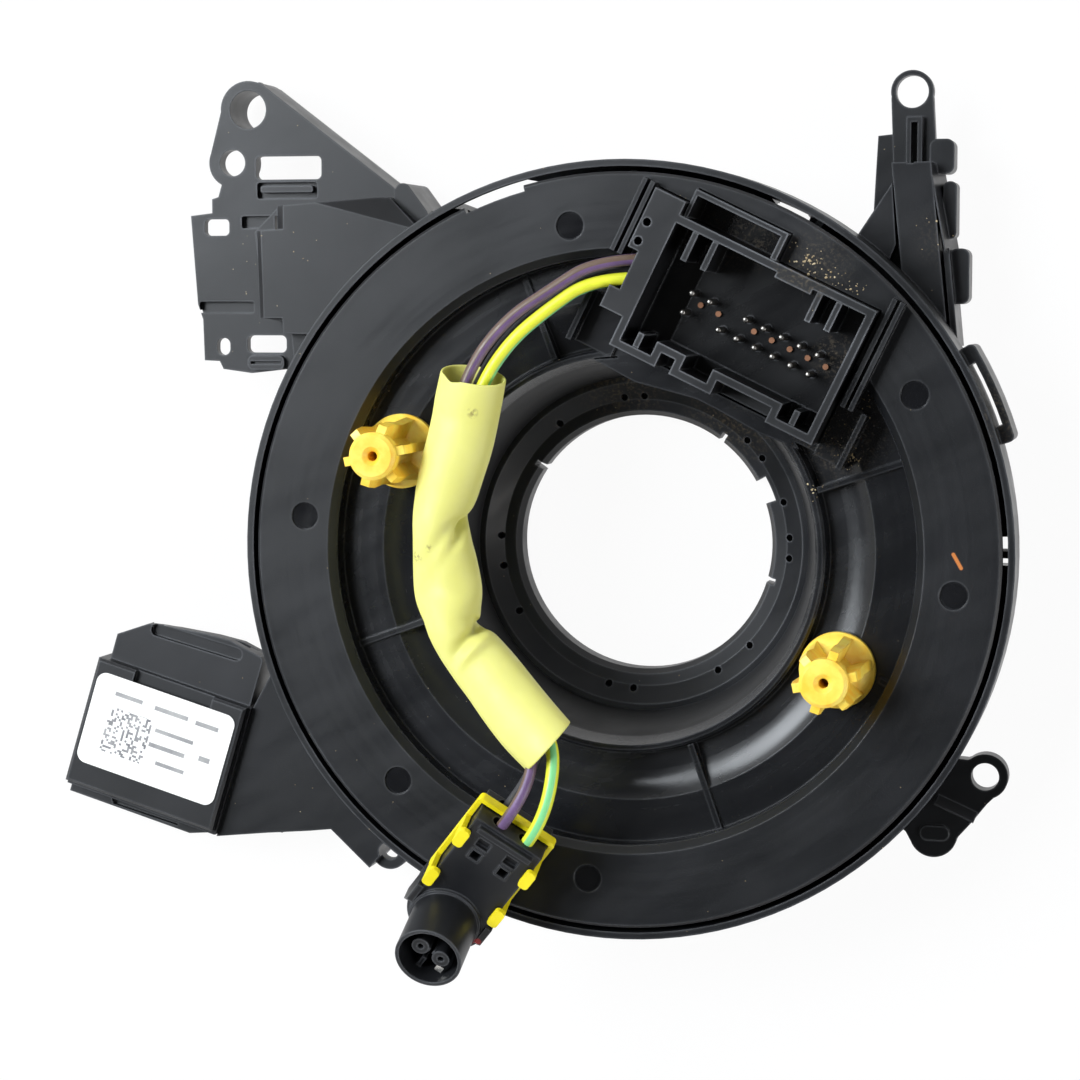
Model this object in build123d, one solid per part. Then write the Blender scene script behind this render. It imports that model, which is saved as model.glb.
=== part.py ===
from build123d import *
from math import atan2, cos, degrees, hypot, radians, sin, tan
import os

# Steering clock spring, lying on its back. The origin is on the rotor axis in the
# plane of the back face, Z points along the steering column towards the driver,
# Y points up and X to the right as the driver sees it. Millimetres.

# Round housing of the fixed side
rim_radius = 56.0
rim_height = 23.0
skirt_wall = 1.0
foot_inset = 1.1
shoulder_level = 14.0
case_floor_level = 3.0
case_floor_thickness = 1.2
chamber_radius = 48.0
chamber_wall = 1.3
chamber_height = 9.2
cover_thickness = 1.5
cover_gap = 0.3
cover_seat_width = 1.2
slits = [(63.0, 69.0), (-2.5, 2.0)]
slit_width = 2.1
stiffener_count = 12
stiffener_thickness = 1.0

# Turning disc
rim_gap = 0.75
disc_level = 23.5
disc_thickness = 1.6
disc_ring_width = 10.8
recess_depth = 4.3
recess_width = 7.25
dish_width = 4.0
dish_depth = 1.5
channel_level = 17.5
lip_level = 20.2
lip_radius = 28.1
lip_thickness = 1.1
cone_foot_radius = 24.9
cone_foot_level = 6.2
barrel_radius = 30.0
barrel_wall = 1.6
rib_thickness = 0.9
rib_height = 0.5
rib_angles = [18.3, 110.5, 200.0, 289.5]
short_rib_angle = 334.5
ejector_mark_radius = 2.0
ejector_mark_depth = 0.25
ejector_marks = [(41.9, 22.9), (-7.2, 46.6), (-46.9, 4.6), (-32.9, -34.0), (-4.5, -47.2), (47.6, -5.0)]

# Lock ring in the bore
bore_radius = 19.05
flange_bottom = 1.2
flange_thickness = 1.5
flange_radius = 32.6
bore_height = 3.0
snap_clearance = 0.1
bore_notch_angles = [144.5, 53.5, -15.7]
bore_notch_width = 0.9
bore_notch_depth = 1.35
wide_notch_start = 18.5
wide_notch_stop = 29.4
wide_notch_depth = 1.75
stud_hole_radius = 0.5
stud_hole_depth = 1.2
stud_ring_radius = 21.9
stud_ring_angles = [3, 17, 36, 45, 90, 98, 126, 178, 190, 209, 256, 266, 301, 317, 355]

# Clearances
running_clearance = 0.4
seat_clearance = 0.15
pin_clearance = 0.03

# Flat cable in the chamber
ribbon_thickness = 0.35
ribbon_width = 8.8
ribbon_pitch = 2.6
ribbon_turns = 5
ribbon_inner_radius = 33.4
terminal_thickness = 2.4
terminal_span = 24.0
stator_terminal_angle = 141.0

# Switch socket on the disc, in its own frame: u runs along the socket, v across it
socket_place = (18.2, 32.2)
socket_turn = -25.87
socket_bottom = 15.4
socket_top = 27.5
socket_wall = 1.2
socket_floor = 1.4
cavity_half_length = 14.75
cavity_half_width = 9.1
pin_field_height = 1.0
pin_field_start = -9.9
notch_depth = 2.2
tub_wall = 1.2
tub_floor = 1.6
pin_pitch = 2.85
pin_radius = 0.45
pin_height = 4.4
pin_seat = 1.4
first_pin = -9.35
upper_row = 0.86
lower_row = -2.16
upper_pins = [0, 1, 3, 4, 5, 6, 7]
lower_pins = [0, 2, 3, 4, 5, 6, 7]
stud_radius = 0.42
stud_height = 0.5
stud_offset = (1.3, -1.26)
guide_rib_thickness = 0.9
wire_block_length = 3.6
wire_block_start = -6.0
wire_block_stop = 12.3
latch_pocket_width = 3.4
latch_bar_thickness = 0.8
latch_length = 14.5
rail_thickness = 0.7
rail_gap = 0.5
rail_height = 2.2

# Winged drive pins
drive_pin_places = {"left": (-33.2, 14.1), "right": (31.0, -16.3)}
drive_flange_radius = 5.45
drive_cap_radius = 3.4
drive_wing_radius = 4.8
drive_wing_thickness = 1.3
drive_wing_count = 6
drive_height = 16.3
drive_hole_radius = 0.7
drive_stem_radius = 2.0
drive_stem_depth = 1.2

# Upper left bracket with the harness connector
bracket_level = 10.0
bracket_thickness = 1.5
pocket_depth = 1.0
apex_place = (-59.8, 64.6)
apex_radius = 4.3
apex_hole_radius = 2.85
apex_depth = 8.0
locating_place = (-62.3, 56.7)
locating_radius = 3.7
locating_hole_radius = 2.0
harness_top = 16.0
harness_wall = 1.6
harness_corner = (-55.8, 33.0)
harness_size = (11.0, 17.2)
harness_pin_pitch = 2.6
harness_pin_columns = 2
harness_pin_rows = 5
harness_pin_radius = 0.4
harness_pin_length = 7.0

# Upper right, lower right and lower left lugs
eye_place = (39.6, 65.8)
eye_radius = 3.05
eye_hole_radius = 2.33
eye_level = 8.5
eye_thickness = 2.0
clip_tabs = [(54.0, 58.9, 42.4, 45.9), (44.8, 52.9, 44.4, 46.3), (35.5, 43.4, 45.4, 48.2)]
tab_bottom = 6.0
tab_top = 11.0
post_level = 14.0
post_wall = 1.2
lower_eye_place = (51.1, -32.8)
lower_eye_radius = 3.3
lower_eye_hole_radius = 2.0
lobe_place = (43.7, -41.4)
lobe_radius = 3.5
lower_lug_level = 8.0
lower_lug_thickness = 3.0
small_lug_place = (-38.7, -47.5)
small_lug_radius = 2.9
small_lug_hole_radius = 1.4
small_lug_thickness = 2.0

# Loop on the right of the skirt
loop_start = 16.6
loop_stop = 31.4
loop_radius = 58.05
loop_wall = 1.1
loop_end = 2.6
loop_corner = 0.9
loop_bottom = 12.0
loop_top = 20.0

# Sensor module, in its own frame: p runs along the label, q across it
sensor_place = (-75.0, -31.05)
sensor_turn = -16.8
sensor_bottom = 0.6
sensor_top = 10.0
sensor_wall = 1.4
sensor_left = -12.4
sensor_right = 12.9
sensor_lower = -13.4
sensor_upper = 9.1
sensor_cover_thickness = 1.6
sensor_step = 2.2
label_length = 23.2
label_width = 14.6
label_corner = 1.6
label_thickness = 0.15
board_thickness = 1.6
board_post_height = 1.2
hood_end = 17.9
hood_left = -11.2
hood_right = 12.4
hood_chamfer = 4.4
hood_lip = 2.2
hood_inset = 1.2
scoop_row = 15.7
scoop_width = 1.9
hood_wall = 1.5
hood_height = 8.7
sensor_pin_count = 6
sensor_pin_pitch = 2.2
sensor_pin_radius = 0.35
sensor_pin_length = 8.0

# Airbag plug, in its own frame: s runs across the plug, w from the leads to the
# round nose, b along the contact barrel
plug_place = (-23.5, -52.3, 31.9)
plug_heading = 230.3
plug_droop = 20.5
plug_roll = 14.2
plug_width = 10.9
plug_height = 7.2
plug_tail = 18.4
plug_nose = 5.6
nose_width = 12.4
nose_start = -3.6
barrel_outer = 4.85
barrel_inner = 4.3
barrel_length = 9.3
collar_step = 0.4
collar_height = 0.5
contact_tube_radius = 1.3
contact_hole_radius = 0.45
contact_spacing = 3.4
lock_thickness = 0.7
lock_bar_drop = 3.2
lock_bar_height = 1.5
lock_travel = 2.0
tab_thickness = 0.8
arm_thickness = 1.0
arm_offset = 5.3
lock_gap = 0.2
tab_length = 3.2
tab_reach = 0.9
tab_corner = 0.6
tab_places = [-14.5, -5.7]
lead_seat = (2.15, -1.9)
grey_seat = (2.6, -6.0)

# Leads and their sleeve
purple_radius = 0.82
yellow_radius = 0.92
grey_radius = 0.72
sleeve_radius = 4.35
sleeve_wall = 0.35


def turned(*edges):
    """Solid of revolution about the rotor axis from an outline of (radius, height)."""
    return revolve(make_face(edges), Axis.Z)


def at(radius, level):
    return (radius, 0, level)


def profile(*points):
    """Closed outline of straight lines through (radius, height) points."""
    return Polyline(*[at(r, z) for r, z in points], close=True)


def ring(inner, outer, bottom, top):
    return Pos(0, 0, bottom) * extrude(Circle(outer) - Circle(inner), top - bottom)


def disc(place, radius, bottom, top):
    return Pos(place[0], place[1], bottom) * extrude(Circle(radius), top - bottom)


def plate(points, bottom, top):
    return Pos(0, 0, bottom) * extrude(make_face(Polyline(*points, close=True)), top - bottom)


def block(low, high):
    size = [b - a for a, b in zip(low, high)]
    return Pos(*low) * Box(*size, align=(Align.MIN, Align.MIN, Align.MIN))


def polar(radius, angle):
    return (radius * cos(radians(angle)), radius * sin(radians(angle)))


def sector(inner, outer, start, stop, bottom, top):
    """Block between two radii and two angles."""
    far = CenterArc((0, 0), outer, start, stop - start)
    near = CenterArc((0, 0), inner, start, stop - start)
    face = make_face([far, Line(far @ 1, near @ 1), near, Line(near @ 0, far @ 0)])
    return Pos(0, 0, bottom) * extrude(face, top - bottom)


def slot_between(start, stop, width, bottom, top):
    """Round-ended bar or slot between two points."""
    length = hypot(stop[0] - start[0], stop[1] - start[1])
    turn = degrees(atan2(stop[1] - start[1], stop[0] - start[0]))
    middle = ((start[0] + stop[0]) / 2, (start[1] + stop[1]) / 2)
    shape = SlotCenterToCenter(length, width)
    return Pos(middle[0], middle[1], bottom) * Rot(0, 0, turn) * extrude(shape, top - bottom)


def wall_between(start, stop, thickness, bottom, top):
    """Upright wall whose left face runs from one point to the other."""
    length = hypot(stop[0] - start[0], stop[1] - start[1])
    turn = degrees(atan2(stop[1] - start[1], stop[0] - start[0]))
    wall = Box(length, thickness, top - bottom, align=(Align.MIN, Align.MAX, Align.MIN))
    return Pos(start[0], start[1], bottom) * Rot(0, 0, turn) * wall


def wedge_between(start, stop, width, low, high):
    """Sloping strip whose crest runs from one point to the other and falls to its right."""
    length = hypot(stop[0] - start[0], stop[1] - start[1])
    turn = degrees(atan2(stop[1] - start[1], stop[0] - start[0]))
    section = Plane.YZ * make_face(Polyline((0.2, low), (0.2, high), (0, high), (-width, low), close=True))
    return Pos(start[0], start[1], 0) * Rot(0, 0, turn) * extrude(section, length)


def pad(middle, size, corner, bottom, top):
    """Flat block with rounded corners about a middle point."""
    return Pos(middle[0], middle[1], bottom) * extrude(RectangleRounded(*size, corner), top - bottom)


# Values that follow from the sizes above
rotor_radius = rim_radius - skirt_wall - rim_gap
recess_radius = rotor_radius - disc_ring_width
recess_level = disc_level - recess_depth
recess_inner = recess_radius - recess_width
skirt_inner = rim_radius - skirt_wall
foot_radius = rim_radius - foot_inset
foot_inner = foot_radius - skirt_wall
wall_bite = 0.2
floor_top = case_floor_level + case_floor_thickness
chamber_top = floor_top + chamber_height
flange_top = flange_bottom + flange_thickness
floor_hole = barrel_radius + running_clearance
cover_inner = flange_radius + 2 * running_clearance
cover_outer = foot_inner - cover_gap
barrel_inside = barrel_radius - barrel_wall
socket_frame = Pos(socket_place[0], socket_place[1], 0) * Rot(0, 0, socket_turn)
block_left = -cavity_half_length - socket_wall - wire_block_length
socket_right = cavity_half_length + socket_wall
socket_edge = cavity_half_width + socket_wall
latch_edge = socket_edge + latch_pocket_width + latch_bar_thickness
cavity_floor = socket_bottom + socket_floor
pin_field_level = cavity_floor + pin_field_height
sensor_frame = Pos(sensor_place[0], sensor_place[1], 0) * Rot(0, 0, sensor_turn)
plug_frame = (
    Pos(*plug_place) * Rot(0, 0, plug_heading - 90) * Rot(-plug_droop, 0, 0) * Rot(0, -plug_roll, 0)
)


def stator_body():
    """Round housing: skirt, floor with its hole, chamber wall and seats for the back cover."""
    chamber_outer = chamber_radius + chamber_wall
    seat_inner = cover_inner + cover_seat_width
    seat_outer = cover_outer - 2 * cover_seat_width
    body = turned(profile(
        (foot_radius, 0), (rim_radius, shoulder_level), (rim_radius, rim_height), (skirt_inner, rim_height),
        (skirt_inner, shoulder_level), (foot_inner, floor_top), (chamber_outer, floor_top), (chamber_outer, chamber_top), (chamber_radius, chamber_top),
        (chamber_radius, floor_top), (floor_hole, floor_top), (floor_hole, case_floor_level),
        (cover_inner, case_floor_level), (cover_inner, cover_thickness), (seat_inner, cover_thickness),
        (seat_inner, case_floor_level), (seat_outer, case_floor_level), (seat_outer, cover_thickness),
        (foot_inner, cover_thickness), (foot_inner, 0)))
    reach = skirt_inner - chamber_outer + 1.5 * wall_bite
    for number in range(stiffener_count):
        angle = number * 360 / stiffener_count
        web = Pos(chamber_outer - wall_bite, 0, floor_top - wall_bite) * Box(
            reach, stiffener_thickness, chamber_height, align=(Align.MIN, Align.CENTER, Align.MIN))
        body += Rot(0, 0, angle) * web
    return body


def left_bracket():
    """Upper left bracket plate with its two bosses and the flange along the slanted edge."""
    low = bracket_level - bracket_thickness
    shape = plate([
        (-63.9, 65.0), (-58.0, 68.7), (-36.9, 52.7), (-30.7, 49.0), (-30.0, 40.0), (-45.0, 25.0),
        (-54.1, 25.7), (-59.5, 25.1), (-64.0, 25.7), (-64.6, 26.9), (-67.0, 27.0), (-67.2, 33.2),
        (-68.0, 35.5), (-69.0, 48.8), (-65.6, 49.2), (-65.6, 51.3), (-64.6, 51.6), (-64.0, 53.6),
        (-65.8, 57.8)], low, bracket_level)
    shape += disc(apex_place, apex_radius, bracket_level - apex_depth, bracket_level)
    shape += disc(locating_place, locating_radius, low - 1.0, bracket_level)
    shape += wall_between((-57.2, 68.1), (-34.0, 50.5), 1.2, bracket_level - apex_depth, bracket_level)
    shape -= disc(apex_place, apex_hole_radius, 0, harness_top)
    shape -= disc(locating_place, locating_hole_radius, 0, harness_top)
    # Clip slot, and the pocket below it with the tongue of the clip
    shape -= pad((-53.45, 55.9), (10.3, 3.5), 0.8, 0, harness_top)
    shape -= pad((-53.7, 52.5), (9.4, 2.4), 0.4, bracket_level - pocket_depth, harness_top)
    shape += pad((-53.7, 52.7), (8.2, 1.0), 0.3, low, bracket_level + 0.2)
    # Rounded holes at the left edge and below the connector box
    shape -= pad((-64.85, 47.05), (3.9, 2.5), 0.7, 0, harness_top)
    shape -= pad((-63.95, 29.1), (2.1, 2.6), 0.95, 0, harness_top)
    shape -= pad((-57.05, 29.5), (6.2, 2.6), 0.8, 0, harness_top)
    # Shallow pockets, and the grooved lump at the lower edge
    shape -= pad((-58.3, 47.8), (5.2, 1.8), 0.3, bracket_level - pocket_depth, harness_top)
    shape -= pad((-63.4, 35.0), (8.6, 1.7), 0.3, bracket_level - pocket_depth, harness_top)
    shape += pad((-57.0, 26.7), (5.8, 2.2), 0.9, low, bracket_level + 0.8)
    shape -= block((-59.4, 26.5, bracket_level), (-54.6, 26.9, harness_top))
    return shape


def harness_housing():
    """Raised box over the harness connector, open at the back, with its lower step."""
    left, lower = harness_corner
    upper = lower + harness_size[1]
    crown = harness_top - harness_wall
    step_top = harness_top - 2.4
    shape = plate([
        (left - 1.6, 46.2), (-53.6, upper - 0.2), (-36.5, upper + 1.0), (-30.0, 45.0), (-45.0, 31.0),
        (left + 3.6, lower - 0.2), (left - 0.1, lower + 0.4)], cover_thickness, crown)
    shape += plate([
        (-52.4, 50.1), (-36.6, 51.3), (-30.0, 45.0), (-45.0, 31.0), (-52.5, 31.1), (-52.6, 33.4),
        (-55.5, 33.4), (-55.9, 46.4), (-52.4, 46.6)], crown - wall_bite, harness_top)
    shape += wedge_between((-52.4, 50.1), (-52.4, 46.6), 1.4, crown, harness_top)
    shape += wedge_between((-55.9, 46.4), (-55.5, 33.4), 1.1, crown, harness_top)
    shape += plate([
        (left + 3.6, lower), (-40.0, lower), (-45.0, 25.4), (left + 4.3, 25.4)],
        cover_thickness, step_top)
    shape += wedge_between((left + 3.6, lower), (left + 4.3, 25.4), 0.6, bracket_level, step_top)
    # Sloping facet at the upper right corner, and the rounded lump beside it
    corner = Plane(origin=(-48.0, 50.6, harness_top), x_dir=(15.0, -3.9, 0), z_dir=(0.121, 0.466, 0.876))
    shape -= corner * Box(20.0, 10.0, 5.0, align=(Align.MIN, Align.MIN, Align.MIN))
    shape += slot_between((-34.8, 52.1), (-32.2, 48.6), 2.4, 2.0, 13.0)
    shape += plate([(-36.2, 52.6), (-34.0, 52.0), (-31.5, 48.4), (-36.0, 46.0)], 2.0, 13.0)
    return shape


def harness_cavity():
    """Hollow for the harness plug, open at the back."""
    left, lower = harness_corner
    return block(
        (left + harness_wall, lower + harness_wall, -1),
        (left + harness_size[0] - harness_wall, lower + harness_size[1] - harness_wall,
         harness_top - harness_wall))


def right_bracket():
    """Upper right bracket: eye on a grooved stem, hollow post, side lugs and clip tabs."""
    low = eye_level - eye_thickness
    shape = disc(eye_place, eye_radius, low, eye_level)
    shape += plate([
        (36.6, 65.0), (42.6, 65.0), (43.2, 55.0), (44.4, 43.0), (46.9, 29.5), (40.0, 32.0),
        (32.2, 45.0), (37.1, 52.7)], low, eye_level)
    shape += plate([
        (34.7, 59.6), (37.6, 59.9), (38.0, 48.0), (40.0, 35.0), (33.0, 44.6), (34.1, 48.1), (34.4, 54.0)],
        low, low + post_wall)
    post = plate([(37.3, 55.5), (42.9, 55.6), (45.3, 32.7), (40.0, 33.0), (38.9, 40.1)], 3.0, post_level)
    hollow = plate([(38.5, 54.3), (41.8, 54.4), (44.0, 33.0), (40.9, 33.0), (40.1, 40.2)],
                   0, post_level - post_wall)
    shape += post
    shape -= hollow
    shape += plate([(37.3, 52.7), (37.9, 44.0), (36.5, 40.5), (32.2, 45.0)], 3.0, 12.5)
    shape += block((38.9, 55.4, eye_level - 0.2), (41.2, 62.2, eye_level + 1.0))
    shape -= block((39.6, 55.4, eye_level - 0.6), (40.5, 61.4, post_level))
    # Clip tabs, bevelled on the side of the post
    for low_y, high_y, left_x, right_x in clip_tabs:
        middle = ((left_x + right_x) / 2, (low_y + high_y) / 2)
        corner = min(1.1, 0.45 * (right_x - left_x))
        shape += pad(middle, (right_x - left_x, high_y - low_y), corner, tab_bottom, tab_top)
        shape += wedge_between((left_x + 0.8, high_y - 1.0), (left_x + 0.8, low_y + 1.0), 1.6, 6.5, tab_top - 0.1)
    shape += wedge_between((45.1, 43.0), (42.8, 55.3), 1.3, 7.0, post_level - 0.1)
    shape += wall_between((45.5, 43.4), (46.9, 29.5), 0.9, 3.0, 13.0)
    shape -= disc(eye_place, eye_hole_radius, 0, harness_top)
    return shape


def lower_right_lug():
    """Lower right fixing eye with its round lobe and sloping rib."""
    low = lower_lug_level - lower_lug_thickness
    shape = disc(lower_eye_place, lower_eye_radius, low, lower_lug_level)
    shape += disc(lobe_place, lobe_radius, low, lower_lug_level)
    shape += plate([
        (50.9, -29.6), (48.6, -30.4), (44.0, -30.0), (36.0, -38.0), (39.7, -41.3), (40.4, -42.6),
        (44.0, -43.0), (47.2, -41.9), (49.3, -39.5), (51.4, -36.8), (52.6, -35.6)], low, lower_lug_level)
    shape += wedge_between((49.7, -39.1), (44.0, -36.6), 1.2, lower_lug_level - wall_bite, lower_lug_level + 2.2)
    shape += pad((43.9, -41.3), (4.2, 2.2), 1.0, low, lower_lug_level + 0.3)
    shape -= disc(lower_eye_place, lower_eye_hole_radius, 0, harness_top)
    return shape


def lower_left_lug():
    """Small lower left lug at the foot of the sensor arm."""
    low = lower_lug_level - small_lug_thickness
    shape = disc(small_lug_place, small_lug_radius, low, lower_lug_level)
    shape += plate([(-41.4, -48.4), (-36.4, -49.3), (-33.0, -44.0), (-40.0, -38.0), (-45.0, -44.0)],
                   low, lower_lug_level)
    return shape


def sensor_arm():
    """Hollow arm from the skirt to the sensor module, open at the back."""
    top = sensor_top - 0.8
    end_low = sensor_frame * Pos(sensor_right, sensor_lower + 1.4, 0)
    end_high = sensor_frame * Pos(sensor_right, sensor_upper, 0)
    low_end = (end_low.position.X, end_low.position.Y)
    high_end = (end_high.position.X, end_high.position.Y)
    outline = [
        low_end, (-58.0, -45.4), (-51.1, -44.8), (-47.7, -44.4), (-41.6, -50.1), (-36.0, -44.0),
        (-50.0, -20.0), (-56.2, -19.2)]
    shape = plate(outline + [high_end], case_floor_level, top)
    inside = plate([
        (low_end[0] + 2.0, low_end[1] + 2.4), (-51.6, -42.6), (-47.2, -42.4), (-44.0, -42.0),
        (-49.5, -24.0), (-55.0, -22.0), (high_end[0] + 1.2, high_end[1] + 0.4)],
        0, top - sensor_wall)
    shape -= inside
    for share in (0.36, 0.68):
        start = (low_end[0] + share * 14.0, low_end[1] + 1.0)
        stop = (high_end[0] + share * 8.0, high_end[1])
        shape += wall_between(start, stop, 1.0, case_floor_level, top - 0.5)
    return shape


def inside_of_skirt():
    """Space inside the skirt, a little wider so that the limbs reach into its wall."""
    return turned(profile(
        (0, 0), (foot_inner + wall_bite, 0), (foot_inner + wall_bite, floor_top),
        (skirt_inner + wall_bite, shoulder_level), (skirt_inner + wall_bite, rim_height), (0, rim_height)))


def make_stator_case():
    limbs = left_bracket() + harness_housing() + right_bracket() + lower_right_lug()
    limbs += lower_left_lug() + sensor_arm()
    loop = sector(rim_radius - 0.5, loop_radius, loop_start, loop_stop, loop_bottom, loop_top)
    corners = [edge for edge in loop.edges().filter_by(Axis.Z)
               if hypot(edge.center().X, edge.center().Y) > rim_radius]
    loop = fillet(corners, loop_corner)
    loop -= sector(rim_radius - 0.6, loop_radius - loop_wall, loop_start + loop_end, loop_stop - loop_end,
                   0, rim_height)
    shape = stator_body() + (limbs - inside_of_skirt()) + loop
    shape -= harness_cavity()
    shape -= disc(small_lug_place, small_lug_hole_radius, 0, harness_top)
    # Opening through the skirt wall at the upper left, seen past the notch in the disc
    shape -= sector(foot_inner - 0.5, rim_radius + 0.5, 104.5, 116.5, floor_top + 1.0, rim_height - 1.2)
    # Slits through the floor beside the skirt
    for start, stop in slits:
        shape -= sector(foot_inner - slit_width, foot_inner + 0.5, start, stop, 0, floor_top + 4.0)
    # Passage for the outer terminal of the flat cable
    half = terminal_span / 4 + 0.3
    shape -= sector(
        chamber_radius - 0.5, chamber_radius + chamber_wall + 0.5,
        stator_terminal_angle - half, stator_terminal_angle + half, floor_top, chamber_top + 1)
    # Holes for the harness pins
    for place in harness_pin_places():
        shape -= disc(place, harness_pin_radius + pin_clearance,
                      harness_top - 2 * harness_wall, harness_top - harness_wall + 0.9)
    return shape


def harness_pin_places():
    left, lower = harness_corner
    middle_x = left + harness_size[0] / 2
    middle_y = lower + harness_size[1] / 2
    places = []
    for column in range(harness_pin_columns):
        for row in range(harness_pin_rows):
            x = middle_x + (column - (harness_pin_columns - 1) / 2) * harness_pin_pitch
            y = middle_y + (row - (harness_pin_rows - 1) / 2) * harness_pin_pitch
            places.append((x, y))
    return places


def make_harness_pins():
    top = harness_top - harness_wall + 0.9
    pins = [disc(place, harness_pin_radius, top - harness_pin_length, top) for place in harness_pin_places()]
    return Compound(children=pins)


def make_rear_cover():
    """Ring cover at the back, with slits that line up with those in the floor."""
    shape = ring(cover_inner, cover_outer, 0, cover_thickness)
    for start, stop in slits:
        shape -= sector(foot_inner - slit_width, foot_inner, start, stop, -1, cover_thickness + 1)
    return shape


def make_ribbon():
    """Flat cable wound as a spiral of half circles about two centres."""
    step = ribbon_pitch / 2
    half = ribbon_thickness / 2
    outer, inner = [], []
    for turn in range(2 * ribbon_turns):
        radius = ribbon_inner_radius + turn * step
        centre = (0, 0) if turn % 2 == 0 else (step, 0)
        start = 0 if turn % 2 == 0 else 180
        outer.append(CenterArc(centre, radius + half, start, 180))
        inner.append(CenterArc(centre, radius - half, start, 180))
    ends = [Line(outer[0] @ 0, inner[0] @ 0), Line(outer[-1] @ 1, inner[-1] @ 1)]
    face = make_face(outer + inner + ends)
    return Pos(0, 0, floor_top) * extrude(face, ribbon_width)


def make_rotor_terminal():
    """Moulded block on the barrel at the inner end of the flat cable."""
    bottom = floor_top + running_clearance
    top = channel_level - disc_thickness - 0.1
    shape = sector(barrel_radius, barrel_radius + terminal_thickness, -terminal_span / 2,
                   terminal_span / 2, bottom, top)
    shape -= sector(barrel_radius + terminal_thickness - 0.7, barrel_radius + terminal_thickness + 1,
                    -terminal_span / 4, terminal_span / 4, bottom + 2, top - 3)
    return shape


def make_stator_terminal():
    """Moulded block in the chamber wall at the outer end of the flat cable."""
    half = terminal_span / 4
    shape = sector(
        chamber_radius - 0.6, foot_inner - 0.1, stator_terminal_angle - half, stator_terminal_angle + half,
        floor_top, chamber_top - 1.4)
    shape -= sector(
        chamber_radius + 2.0, foot_inner - 1.3, stator_terminal_angle - half + 1.5,
        stator_terminal_angle + half - 1.5, floor_top + 3.0, chamber_top)
    return shape


def rotor_shell():
    """Turning disc with stepped recess, dished channel, lip, inner cone and barrel."""
    dish_inner = recess_inner - dish_width
    dish_floor = recess_level - dish_depth
    under_recess = recess_level - disc_thickness
    cone_top = lip_radius - 0.2
    outline = [
        Polyline(
            at(dish_inner, dish_floor), at(barrel_radius - 0.4, channel_level),
            at(lip_radius + lip_thickness, lip_level - 0.4), at(lip_radius + lip_thickness - 0.4, lip_level),
            at(lip_radius, lip_level), at(cone_foot_radius, cone_foot_level),
            at(cone_foot_radius + 1.5, cone_foot_level), at(barrel_inside - 0.1, 14.5),
            at(barrel_inside, flange_top), at(barrel_radius, flange_top),
            at(barrel_radius, channel_level - disc_thickness),
            at(barrel_radius + 2.0, channel_level - disc_thickness + 0.2)),
        ThreePointArc(
            at(barrel_radius + 2.0, channel_level - disc_thickness + 0.2),
            at(recess_inner - 2.2, under_recess - 0.95), at(recess_inner, under_recess)),
        Polyline(
            at(recess_inner, under_recess), at(recess_radius + 0.45, under_recess),
            at(recess_radius + 0.45, disc_level - disc_thickness), at(rotor_radius, disc_level - disc_thickness),
            at(rotor_radius, disc_level - 0.4), at(rotor_radius - 0.4, disc_level),
            at(recess_radius, disc_level), at(recess_radius - 1.15, disc_level - 1.2),
            at(recess_radius - 1.15, recess_level), at(recess_inner, recess_level)),
        ThreePointArc(
            at(recess_inner, recess_level), at(recess_inner - 1.7, recess_level - 0.95),
            at(dish_inner, dish_floor))]
    return turned(*outline)


def socket_footprint(margin):
    """Plan of the socket on the disc, grown by a margin on every side."""
    main = Rectangle(2 * (socket_right + margin), 2 * (socket_edge + margin))
    left = block_left - margin
    side = Pos((left + 0) / 2, (wire_block_start + wire_block_stop) / 2) * Rectangle(
        0 - left, wire_block_stop - wire_block_start + 2 * margin)
    latch_low = socket_edge - 1
    latch = Pos(-latch_length / 2, (latch_low + latch_edge + margin) / 2) * Rectangle(
        latch_length + 2 * margin, latch_edge + margin - latch_low)
    return main + side + latch


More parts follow.
